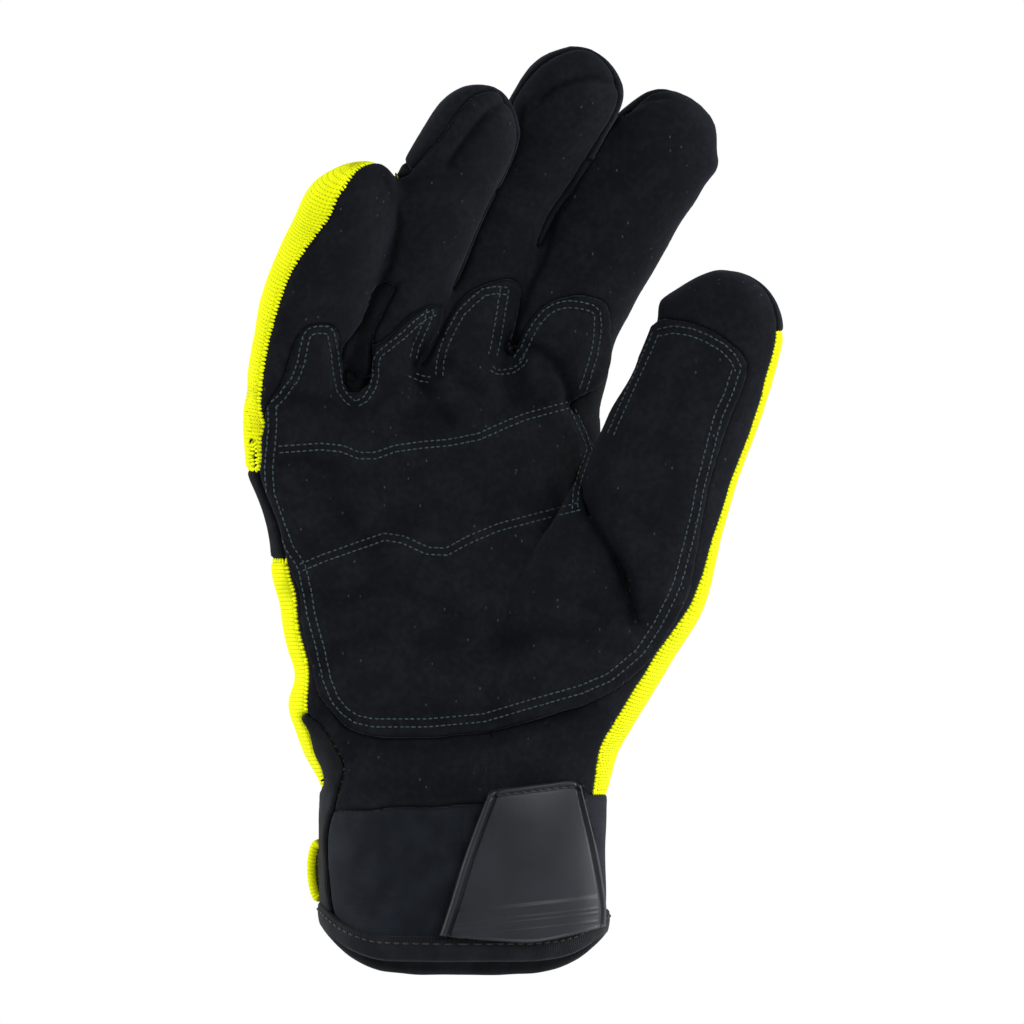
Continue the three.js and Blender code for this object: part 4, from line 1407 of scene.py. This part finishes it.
def object_from(bm: bmesh.types.BMesh, name: str, material: bpy.types.Material) -> bpy.types.Object:
    """Turns a mesh in millimetres into an object in metres, and frees it.

    Args:
        bm: The mesh.
        name: Name of the object.
        material: Its finish.

    Returns:
        The object, riding on the glove.
    """
    bmesh.ops.scale(bm, vec=(MM, MM, MM), verts=bm.verts)
    for face in bm.faces:
        face.smooth = True
    mesh = bpy.data.meshes.new(name)
    bm.to_mesh(mesh)
    bm.free()
    mesh.materials.append(material)
    thing = bpy.data.objects.new(name, mesh)
    bpy.context.scene.collection.objects.link(thing)
    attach(thing, "root")
    return thing


class Cut(NamedTuple):
    """The flat cloth of a piece, in metres: the rectangle that it is cut from, and its own area."""

    width: float
    length: float
    area: float


@dataclass
class Panel:
    """A cut piece of cloth that follows the skin.

    Args:
        name: Name of the piece.
        node: The solid that it stands for.
        regions: The regions of the skin that it covers.
        slot: The finish's slot.
        wall: Thickness of the cloth, in millimetres.
        flat: The flat cloth that it was cut from.
        lift: How far it lies outside the skin, in millimetres.
        rests_on: What it is sewn to.
        edge: How far its edge lies outside the skin.
    """

    name: str
    node: str
    regions: tuple[Region, ...]
    slot: str
    wall: float
    flat: Cut
    lift: float = 0.0
    rests_on: tuple[str, ...] = ()
    edge: float = 0.0

    def build(self, skin: Skin, material: bpy.types.Material) -> bpy.types.Object:
        """Args:
            skin: The skin of the hand.
            material: The finish.

        Returns:
            The panel.
        """
        bm = skin.panel(*self.regions)
        self.raise_edge(bm)
        thing = object_from(bm, self.name, material)
        cloth = thing.modifiers.new("thickness", "SOLIDIFY")
        cloth.thickness = self.wall * MM
        cloth.offset = -1
        declare(thing, self.node, self.slot, self.flat, self.rests_on)
        return thing

    def raise_edge(self, bm: bmesh.types.BMesh) -> None:
        """Lifts the panel off the skin, with a soft round edge.

        Args:
            bm: The panel's mesh.
        """
        if not self.lift:
            return
        run = bm.verts.layers.float_vector["cloth_run"]
        patch = bm.verts.layers.float["patch_away"]
        way = bm.verts.layers.float_vector["way_out"]
        for vert in bm.verts:
            near = min(vert[run][2], vert[patch]) / 1.5
            rise = math.sqrt(1 - (1 - min(near, 1)) ** 2)
            vert.co = vert.co + vert[way] * (self.edge + (self.lift - self.edge) * rise)


def declare(
    thing: bpy.types.Object,
    node: str,
    slot: str,
    flat: Cut,
    rests_on: tuple[str, ...],
) -> None:
    """Hides the solid that a cloth piece stands for and logs its area beside the area that it was cut to.

    Args:
        thing: The piece.
        node: The solid.
        slot: Not used.
        flat: The flat cloth that it was cut from.
        rests_on: Not used.
    """
    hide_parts(node)
    list(rests_on)
    measured = sum(face.area for face in thing.data.polygons)
    LOG.info("%s: measures %.0f square mm, cut to %.0f", thing.name, measured * 1e6, flat.area * 1e6)


class Threads:
    """Many short round threads gathered in one mesh, in millimetres."""

    def __init__(self) -> None:
        """Makes the thread that all are copied from."""
        self.bm = bmesh.new()
        one = bmesh.new()
        bmesh.ops.create_uvsphere(one, u_segments=8, v_segments=6, radius=1)
        self.one = bpy.data.meshes.new("one_thread")
        one.to_mesh(self.one)
        one.free()

    def add(self, centre: Vector, axes: Sequence[Vector], size: Sequence[float]) -> None:
        """Adds a thread.

        Args:
            centre: Its middle.
            axes: Its three directions.
            size: Half its size along each of them.
        """
        turn = Matrix(axes).transposed().to_4x4()
        copy = self.one.copy()
        copy.transform(Matrix.Translation(centre) @ turn @ Matrix.Diagonal((*size, 1)))
        self.bm.from_mesh(copy)
        bpy.data.meshes.remove(copy)

    def along(self, start: Vector, end: Vector, width: float, lift: Vector) -> None:
        """Adds a thread from one place to another."""
        run = (end - start).normalized()
        side = run.cross(lift).normalized()
        size = (width, width, (end - start).length / 2 + width * 0.4)
        self.add((start + end) / 2, (side, run.cross(side), run), size)

    def done(self, name: str, material: bpy.types.Material) -> bpy.types.Object:
        """Turns the threads into one piece."""
        bpy.data.meshes.remove(self.one)
        return object_from(self.bm, name, material)


@dataclass
class Stitching:
    """Rows of stitches through a cloth, each stitch a short round thread.

    Args:
        rows: The rows, seen from the front.
        pitch: Distance from a stitch to the next, in millimetres.
        length: Length of a stitch.
        width: Half its width.
    """

    rows: tuple[SewnRow, ...]
    pitch: float = 1.55
    length: float = 0.5
    width: float = 0.22

    def build(
        self, name: str, cloth: list[bpy.types.Object], material: bpy.types.Material
    ) -> bpy.types.Object:
        """Sews the rows on the cloth that lies nearest to the front.

        Args:
            name: Name of the stitches.
            cloth: The pieces that are sewn.
            material: The thread.

        Returns:
            All the stitches as one piece.
        """
        trees = []
        for piece in cloth:
            source = bmesh.new()
            source.from_mesh(piece.data)
            trees.append(BVHTree.FromBMesh(source))
            source.free()
        luck = random.Random(SEED)
        threads = Threads()
        for row in self.rows:
            line = np.array(row.line)
            run = np.concatenate([[0], np.cumsum(np.hypot(*np.diff(line, axis=0).T))])
            for step in np.arange(self.pitch / 2, run[-1], self.pitch):
                ends = []
                for offset in (-1, 1):
                    at = step + offset * self.length + luck.uniform(-0.08, 0.08)
                    x, z = (np.interp(at, run, column) for column in line.T)
                    ends.append(self.drop(trees, x + luck.uniform(-0.1, 0.1), z))
                if None not in ends and (ends[0] - ends[1]).length < 5 * self.length:
                    threads.along(*ends, self.width, Vector((0, -1, 0)))
        return threads.done(name, material)

    def drop(self, trees: list[BVHTree], x: float, z: float) -> Vector | None:
        """The place on the nearest cloth behind a point of the front view, in millimetres."""
        hits = []
        for tree in trees:
            place, normal, _, _ = tree.ray_cast(Vector((x * MM, -0.2, z * MM)), Vector((0, 1, 0)))
            if place is not None and normal.y < -0.12:
                hits.append(place / MM + normal * 0.05)
        return min(hits, key=lambda hit: hit.y) if hits else None


def mapped_grid(
    columns: int, rows: int, place: Callable[[float, float], Sequence[float]], closed: bool = False
) -> bmesh.types.BMesh:
    """A grid whose points are laid by a function of two shares.

    Args:
        columns: Steps of the first share.
        rows: Steps of the second.
        place: Gives a point in millimetres.
        closed: Whether the first share runs round and meets itself.

    Returns:
        The mesh, with the two shares' run kept for the weave.
    """
    bm = bmesh.new()
    bmesh.ops.create_grid(bm, x_segments=columns, y_segments=rows, size=0.5)
    run = bm.verts.layers.float_vector.new("cloth_run")
    for vert in bm.verts:
        across, up = vert.co.x + 0.5, vert.co.y + 0.5
        vert.co = place(across, up)
        vert[run] = (across, up, 3)
    if closed:
        bmesh.ops.remove_doubles(bm, verts=bm.verts, dist=1e-4)
    return bm


def wrist_point(angle: float, height: float, grow: float) -> Vector:
    """A point of the wrist at an angle and a height, moved outwards."""
    share = np.array([(height - BODY.start) / BODY.length])
    return Vector(BODY.surface(share, np.array([angle]), np.ones(1), grow)[0])


HEM_CUT = Cut(0.22, 0.018, 0.0031590)
TAB_CUT = Cut(0.011, 0.019, 0.0001367)


@dataclass
class Hem:
    """Ribbed tape folded round the lower edge of the cuff, with a row of stitches.

    Args:
        height: How high the tape stands on the outside, in millimetres.
        inside: How high it stands on the inside.
        wall: Thickness of tape and cloth together.
        grow: How far its outer face lies outside the cuff.
        stitch_count: Stitches all round.
        stitch_place: Share of the tape's width at which they run.
    """

    height: float = 5.2
    inside: float = 5.5
    wall: float = 2.9
    grow: float = 0.9
    stitch_count: int = 92
    stitch_place: float = 0.17

    def profile(self, share: float) -> tuple[float, float]:
        """Height above the edge and distance outwards at a share of the tape's width."""
        outside, bend = 0.48, 0.12
        if share < outside:
            up = self.height * (1 - share / outside) + self.wall / 2
            lean = 0.25 * math.sin(math.pi * share / outside)
            roll = 0.9 * max(0, 1 - share / outside / 0.12) ** 2
            return up, self.grow + lean - roll
        if share < outside + bend:
            turn = math.pi * (share - outside) / bend
            return self.wall / 2 * (1 - math.sin(turn)), self.grow - self.wall / 2 * (1 - math.cos(turn))
        rest = (share - outside - bend) / (1 - outside - bend)
        return self.wall / 2 + self.inside * rest, self.grow - self.wall

    def place(self, across: float, share: float) -> Vector:
        """A point of the tape."""
        angle = across * math.tau
        up, out = self.profile(share)
        base = wrist_point(angle, 2, 0)
        edge = float(rim_height(np.array(base.x), np.array(base.y)))
        ripple = 0.22 * noise.noise(Vector((math.cos(angle) * 5, math.sin(angle) * 5, share * 1.5)))
        return wrist_point(angle, edge + up + ripple, out + ripple)

    def build(self, finishes: Finishes) -> bpy.types.Object:
        """Makes the tape."""
        bm = mapped_grid(420, 34, self.place, closed=True)
        run = bm.verts.layers.float_vector["cloth_run"]
        for vert in bm.verts:
            vert[run] = (vert[run][0] * 210, vert[run][1] * 14, 3)
        bmesh.ops.recalc_face_normals(bm, faces=bm.faces)
        thing = object_from(bm, "cuff_hem_tape", finishes.binding)
        tape = thing.modifiers.new("thickness", "SOLIDIFY")
        tape.thickness = 0.5 * MM
        tape.offset = -1
        declare(thing, "cuff_hem", "binding", HEM_CUT, ("wrist_cuff_cloth",))
        return thing

    def stitches(self, finishes: Finishes) -> bpy.types.Object:
        """Sews one row of dark stitches near the upper edge of the tape."""
        threads = Threads()
        for number in range(self.stitch_count):
            turn = number / self.stitch_count
            ends = [self.place(turn + step, self.stitch_place) for step in (-0.0034, 0.0034)]
            out = ((ends[0] + ends[1]) / 2).normalized()
            out.z = 0
            ends = [end + out * 0.12 for end in ends]
            threads.along(*ends, 0.26, out)
        return threads.done("hem_stitches", finishes.dark_thread)


@dataclass
class Badge:
    """Moulded rubber tab on the palm side of the cuff, with a raised rim, fine steps and a plain face.

    Args:
        left: Left edge from the top down, seen from the front, in pixels of the front view.
        top: Top edge from left to right.
        right: Right edge from the top down.
        bottom: Bottom edge from left to right.
        seat: How far its back lies outside the cuff, in millimetres.
        wall: Its thickness.
        step_height: Height of the step of its face above the middle of the wrist.
        step_slope: How much the step rises across.
    """

    left: tuple[tuple[float, float], ...] = ((489, 789), (476, 822), (463, 858), (451, 897), (440, 931))
    top: tuple[tuple[float, float], ...] = (
        (489, 789), (505, 785), (520, 783), (545, 780), (571, 778), (581, 783),
    )
    right: tuple[tuple[float, float], ...] = (
        (581, 783), (588, 811), (595, 839), (602, 875), (606, 906), (605, 924),
    )
    bottom: tuple[tuple[float, float], ...] = (
        (440, 931), (470, 934), (492, 936), (533, 938), (570, 932), (605, 924),
    )
    seat: float = 0.85
    wall: float = 1.6
    step_height: float = 13.1
    step_slope: float = 0.09

    def outline(self, points: Sequence[tuple[float, float]], share: float) -> np.ndarray:
        """A point of an edge at a share of its length, in millimetres."""
        line = curve_points(from_pixels(points), 60)
        spot = share * 59
        low = min(int(spot), 58)
        return line[low] + (line[low + 1] - line[low]) * (spot - low)

    def spread(self, columns: int, rows: int) -> np.ndarray:
        """Points between the four edges, row by row."""
        edges = {}
        for name, size in (("left", rows), ("right", rows), ("top", columns), ("bottom", columns)):
            line = getattr(self, name)
            edges[name] = np.array([self.outline(line, step / (size - 1)) for step in range(size)])
        u = np.linspace(0, 1, columns)[None, :, None]
        v = np.linspace(0, 1, rows)[:, None, None]
        sides = (1 - u) * edges["left"][:, None] + u * edges["right"][:, None]
        ends = (1 - v) * edges["top"][None] + v * edges["bottom"][None]
        corners = (1 - u) * (1 - v) * edges["left"][0] + u * (1 - v) * edges["right"][0]
        corners = corners + (1 - u) * v * edges["left"][-1] + u * v * edges["right"][-1]
        return sides + ends - corners

    def relief(self, edges: dict[str, float], x: float, z: float) -> float:
        """Height of the face above its floor, in millimetres.

        Args:
            edges: Distance from each edge.
            x: Place across.
            z: Height.

        Returns:
            The height.
        """
        level = 0.0
        rims = {"left": (2.1, 1.15), "top": (1.5, 0.7), "right": (0.9, 0.7), "bottom": (0.7, 0.5)}
        for name, away in edges.items():
            size, rise = rims[name]
            middle = abs(away - size / 2) / (size / 2)
            level = max(level, rise * math.sqrt(max(0, 1 - middle**2)))
        for name, place, deep in (("left", 2.5, 0.55), ("right", 1.6, 0.6), ("top", 1.9, 0.3)):
            level -= deep * math.exp(-(((edges[name] - place) / 0.32) ** 2))
        over = z - self.step_height - self.step_slope * x
        inside = min(1.0, max(0.0, (min(edges["left"] - 2.6, edges["right"] - 1.8)) / 0.3))
        level += inside * 0.42 / (1 + math.exp(over / 0.12))
        for line in (-3.2, -4.4, -6.6):
            level += inside * 0.16 * math.exp(-(((over - line) / 0.25) ** 2))
        outer = min(edges.values())
        return level - 1.2 * max(0, 1 - outer / 0.45) ** 2

    def build(self, finishes: Finishes) -> bpy.types.Object:
        """Makes the badge on the front of the cuff."""
        columns, rows = 150, 150
        flat = self.spread(columns, rows)
        front = BVHTree.FromBMesh(wrist_sheet(self.seat + self.wall))
        bm = bmesh.new()
        bmesh.ops.create_grid(bm, x_segments=columns - 1, y_segments=rows - 1, size=0.5)
        for vert in bm.verts:
            column = round((vert.co.x + 0.5) * (columns - 1))
            row = rows - 1 - round((vert.co.y + 0.5) * (rows - 1))
            x, z = flat[row, column]
            ends = dict(zip(("left", "right"), flat[row, [0, -1]]))
            ends.update(zip(("top", "bottom"), flat[[0, -1], column]))
            edges = {name: float(np.hypot(x - end[0], z - end[1])) for name, end in ends.items()}
            rise = self.relief(edges, x, z)
            place, normal, _, _ = front.ray_cast(Vector((x, -200, z)), Vector((0, 1, 0)))
            vert.co = place - Vector((0, 1, 0)) * rise if place else Vector((x, -20, z))
        bmesh.ops.recalc_face_normals(bm, faces=bm.faces)
        if sum(face.normal.y for face in bm.faces) > 0:
            bmesh.ops.reverse_faces(bm, faces=bm.faces)
        thing = object_from(bm, "wrist_badge_rubber", finishes.rubber)
        body = thing.modifiers.new("thickness", "SOLIDIFY")
        body.thickness = self.wall * MM
        body.offset = -1
        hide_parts("wrist_badge")
        return thing


def wrist_sheet(grow: float) -> bmesh.types.BMesh:
    """The wrist's outer face moved outwards, as a surface to lay things on."""

    def place(across: float, up: float) -> Vector:
        """A point of the sheet."""
        return wrist_point(across * math.tau, -6 + 72 * up, grow)

    return mapped_grid(160, 60, place, closed=True)


@dataclass
class PullTab:
    """A small loop of yellow tape at the little finger side of the cuff.

    Args:
        height: Height of the loop, in millimetres.
        depth: Width of the tape.
        reach: How far it stands out from the cuff.
        foot: Height of its lower end above the middle of the wrist.
    """

    height: float = 16.5
    depth: float = 8.0
    reach: float = 2.6
    foot: float = 14.0

    def build(self, finishes: Finishes) -> bpy.types.Object:
        """Makes the loop."""

        def place(across: float, up: float) -> Vector:
            """A point of the tape, which bows outwards between its ends."""
            bow = math.sin(math.pi * min(max(up, 0), 1)) ** 0.35
            angle = math.pi * (0.93 + 0.07 * across)
            return wrist_point(angle, self.foot + self.height * up, 0.9 + self.reach * bow)

        bm = mapped_grid(16, 36, place)
        run = bm.verts.layers.float_vector["cloth_run"]
        for vert in bm.verts:
            vert[run] = (vert[run][0] * self.depth, vert[run][1] * self.height, 3)
        bmesh.ops.recalc_face_normals(bm, faces=bm.faces)
        thing = object_from(bm, "pull_tab_tape", finishes.yellow)
        tape = thing.modifiers.new("thickness", "SOLIDIFY")
        tape.thickness = 2.2 * MM
        declare(thing, "pull_tab", "yellow_knit", TAB_CUT, ("wrist_cuff_cloth",))
        return thing


@dataclass
class SeamLoops:
    """Loops of the yellow knit that show along its seams with the black cloth.

    Args:
        pitch: Distance from a loop to the next, in millimetres.
    """

    pitch: float = 1.05

    def chains(self, skin: Skin) -> list[list[Vector]]:
        """Runs of seam points between yellow and black regions, with the way out."""
        hidden = {Region.OUTSIDE.value, Region.SLIT.value}
        links: dict[bmesh.types.BMVert, list[bmesh.types.BMVert]] = {}
        for edge in skin.seams():
            both = {face[skin.region] for face in edge.link_faces}
            if len(both & YELLOW_REGIONS) == 1 and not both & hidden:
                for one, other in (edge.verts, reversed(edge.verts)):
                    links.setdefault(one, []).append(other)
        runs, seen = [], set()
        starts = [vert for vert, near in links.items() if len(near) != 2] + list(links)
        for start in starts:
            if start in seen:
                continue
            run, here = [start], start
            seen.add(start)
            while True:
                ahead = [vert for vert in links[here] if vert not in seen]
                if not ahead:
                    break
                here = ahead[0]
                seen.add(here)
                run.append(here)
            if len(run) > 8:
                runs.append(run)
        return runs

    def build(self, skin: Skin, finishes: Finishes) -> bpy.types.Object:
        """Lays a loop at every step along the seams."""
        way = skin.bm.verts.layers.float_vector["way_out"]
        luck = random.Random(SEED)
        threads = Threads()
        for run in self.chains(skin):
            left = self.pitch
            for here, ahead in zip(run, run[1:]):
                left -= (ahead.co - here.co).length
                if left > 0:
                    continue
                left += self.pitch
                out = Vector(here[way])
                line = (ahead.co - here.co).normalized()
                inward = out.cross(line).normalized()
                beside = [face for face in here.link_faces if face[skin.region] in YELLOW_REGIONS]
                lit = [face.calc_center_median() for face in beside]
                if lit and sum((spot - here.co).dot(inward) for spot in lit) > 0:
                    inward = -inward
                centre = here.co + out * 0.42 - inward * 0.28
                threads.add(centre, (line, inward, out), (0.40, 0.78 + luck.uniform(-0.12, 0.12), 0.34))
        return threads.done("seam_loops", finishes.yellow)


PANELS = (
    Panel(
        "palm_cloth", "palm_shell", PALM_SIDE, "black_suede",
        wall=1.6, flat=Cut(0.22, 0.26, 0.0245271), rests_on=("wrist_cuff_cloth",),
    ),
    Panel(
        "palm_patch_cloth", "palm_patch", (Region.PALM_PATCH,), "patch_suede",
        wall=0.9, flat=Cut(0.115, 0.125, 0.0106590), lift=1.25, rests_on=("palm_cloth",), edge=0.25,
    ),
    Panel(
        "thumb_patch_cloth", "thumb_patch", (Region.THUMB_PATCH,), "patch_suede",
        wall=0.9, flat=Cut(0.06, 0.11, 0.0034826), lift=1.25, rests_on=("palm_cloth",), edge=0.25,
    ),
    Panel(
        "back_cloth", "back_upper", (Region.BACK_UPPER,), "yellow_knit",
        wall=1.5, flat=Cut(0.2, 0.14, 0.0104810), rests_on=("knuckle_cloth",),
    ),
    Panel(
        "knuckle_cloth", "knuckle_band", (Region.KNUCKLE,), "black_flex",
        wall=1.5, flat=Cut(0.13, 0.03, 0.0027418), rests_on=("back_lower_cloth",),
    ),
    Panel(
        "back_lower_cloth", "back_lower", (Region.BACK_LOWER,), "yellow_knit",
        wall=1.5, flat=Cut(0.2, 0.17, 0.0129512), rests_on=("wrist_cuff_cloth",),
    ),
    Panel(
        "little_ring_cloth", "little_ring_side", (Region.LITTLE_RING,), "black_flex",
        wall=1.2, flat=Cut(0.0148, 0.0593, 0.0006159), rests_on=("palm_cloth",),
    ),
    Panel(
        "ring_middle_cloth", "ring_middle_side", (Region.RING_MIDDLE,), "black_flex",
        wall=1.2, flat=Cut(0.0163, 0.0651, 0.0007407), rests_on=("palm_cloth",),
    ),
    Panel(
        "middle_index_cloth", "middle_index_side", (Region.MIDDLE_INDEX,), "black_flex",
        wall=1.2, flat=Cut(0.0124, 0.0496, 0.0004311), rests_on=("palm_cloth",),
    ),
    Panel(
        "index_tip_cloth", "index_tip", (Region.INDEX_TIP,), "black_suede",
        wall=1.5, flat=Cut(0.05, 0.04, 0.0009912), rests_on=("palm_cloth",),
    ),
    Panel(
        "middle_tip_cloth", "middle_tip", (Region.MIDDLE_TIP,), "black_suede",
        wall=1.5, flat=Cut(0.05, 0.04, 0.0011937), rests_on=("palm_cloth",),
    ),
    Panel(
        "ring_tip_cloth", "ring_tip", (Region.RING_TIP,), "black_suede",
        wall=1.5, flat=Cut(0.05, 0.04, 0.0011790), rests_on=("palm_cloth",),
    ),
    Panel(
        "thumb_tip_cloth", "thumb_tip", (Region.THUMB_TIP,), "black_suede",
        wall=1.5, flat=Cut(0.0365, 0.0243, 0.0006222), rests_on=("palm_cloth",),
    ),
    Panel(
        "wrist_cuff_cloth", "wrist_cuff", (Region.CUFF,), "neoprene",
        wall=2.2, flat=Cut(0.21, 0.055, 0.0074486),
    ),
    Panel(
        "slit_binding_tape", "slit_binding", (Region.SLIT,), "binding",
        wall=1.5, flat=Cut(0.0212, 0.0424, 0.0006282), lift=0.7, rests_on=("wrist_cuff_cloth",),
    ),
)

GLOVE_MIDDLE = Vector((0.012, 0, 0.115))


class Studio:
    """The pale floor, the soft lights and the camera."""

    def build(self) -> None:
        """Sets up the scene round the glove."""
        scene = bpy.context.scene
        scene.view_settings.view_transform = "Standard"
        self.floor()
        self.world()
        self.lamp("key_light", (1.0, -1.2, 1.1), 0.7, 20.0)
        self.lamp("fill_light", (-1.4, -1.1, 0.2), 0.9, 7.0)
        self.lamp("left_rim_light", (-1.3, 0.3, 0.5), 0.8, 16.0)
        self.lamp("right_rim_light", (1.3, 0.3, 0.4), 0.8, 16.0)
        self.camera()

    def floor(self) -> None:
        """A plain pale disc below the glove."""
        bm = bmesh.new()
        bmesh.ops.create_circle(bm, cap_ends=True, segments=96, radius=620)
        bmesh.ops.translate(bm, vec=(0, 0, -60), verts=bm.verts)
        bmesh.ops.scale(bm, vec=(MM,) * 3, verts=bm.verts)
        mesh = bpy.data.meshes.new("floor")
        bm.to_mesh(mesh)
        bm.free()
        pale = bpy.data.materials.new("pale_floor")
        pale.use_nodes = True
        face = pale.node_tree.nodes["Principled BSDF"]
        face.inputs["Base Color"].default_value = (0.86, 0.86, 0.86, 1)
        face.inputs["Roughness"].default_value = 0.8
        mesh.materials.append(pale)
        floor = bpy.data.objects.new("floor", mesh)
        bpy.context.scene.collection.objects.link(floor)

    def world(self) -> None:
        """A white surrounding that is seen at full strength and lights more softly."""
        world = bpy.data.worlds.new("white_studio")
        world.use_nodes = True
        shader = Shader(world.node_tree)
        seen = shader.add("LightPath").outputs["Is Camera Ray"]
        strength = shader.maths("MULTIPLY_ADD", seen, 0.64, 0.36)
        sky = shader.add("Background", {"Color": (1, 1, 1, 1), "Strength": strength})
        shader.add("OutputWorld", {"Surface": sky.outputs[0]})
        bpy.context.scene.world = world

    def lamp(self, name: str, place: Sequence[float], size: float, power: float) -> None:
        """A square soft light turned to the glove.

        Args:
            name: Name of the light.
            place: Where it stands, in metres.
            size: Its width and height, in metres.
            power: Its power, in watts.
        """
        light = bpy.data.lights.new(name, "AREA")
        light.size = size
        light.energy = power
        thing = bpy.data.objects.new(name, light)
        thing.location = place
        view = GLOVE_MIDDLE - Vector(place)
        thing.rotation_euler = view.to_track_quat("-Z", "Y").to_euler()
        bpy.context.scene.collection.objects.link(thing)

    def camera(self) -> None:
        """A long lens, level with the middle of the glove."""
        lens = bpy.data.cameras.new("camera")
        lens.sensor_width = 36
        lens.lens = 293
        lens.clip_start = 0.1
        lens.clip_end = 20
        thing = bpy.data.objects.new("camera", lens)
        thing.location = (0.01294, -2.2, 0.11695)
        thing.rotation_euler = (math.pi / 2, 0, 0)
        bpy.context.scene.collection.objects.link(thing)
        bpy.context.scene.camera = thing


def main() -> None:
    """Makes the glove and the studio."""
    finishes = Finishes()
    skin = Skin()
    skin.build()
    looks = {
        "black_suede": finishes.suede,
        "patch_suede": finishes.patch,
        "yellow_knit": finishes.yellow,
        "black_flex": finishes.flex,
        "neoprene": finishes.neoprene,
        "binding": finishes.binding,
    }
    made = {panel.name: panel.build(skin, looks[panel.slot]) for panel in PANELS}
    hem = Hem()
    hem.build(finishes)
    hem.stitches(finishes)
    badge = Badge().build(finishes)
    badge_rows = Stitching((SewnRow(BADGE_ROW, 0),), pitch=2.1, length=0.72, width=0.3)
    badge_rows.build("badge_stitches", [badge], finishes.dark_thread)
    PullTab().build(finishes)
    SeamLoops().build(skin, finishes)
    sewn = [made["palm_patch_cloth"], made["thumb_patch_cloth"], made["palm_cloth"]]
    Stitching(SEWN_ROWS).build("palm_stitches", sewn, finishes.thread)
    Studio().build()


if __name__ == "__main__":
    main()
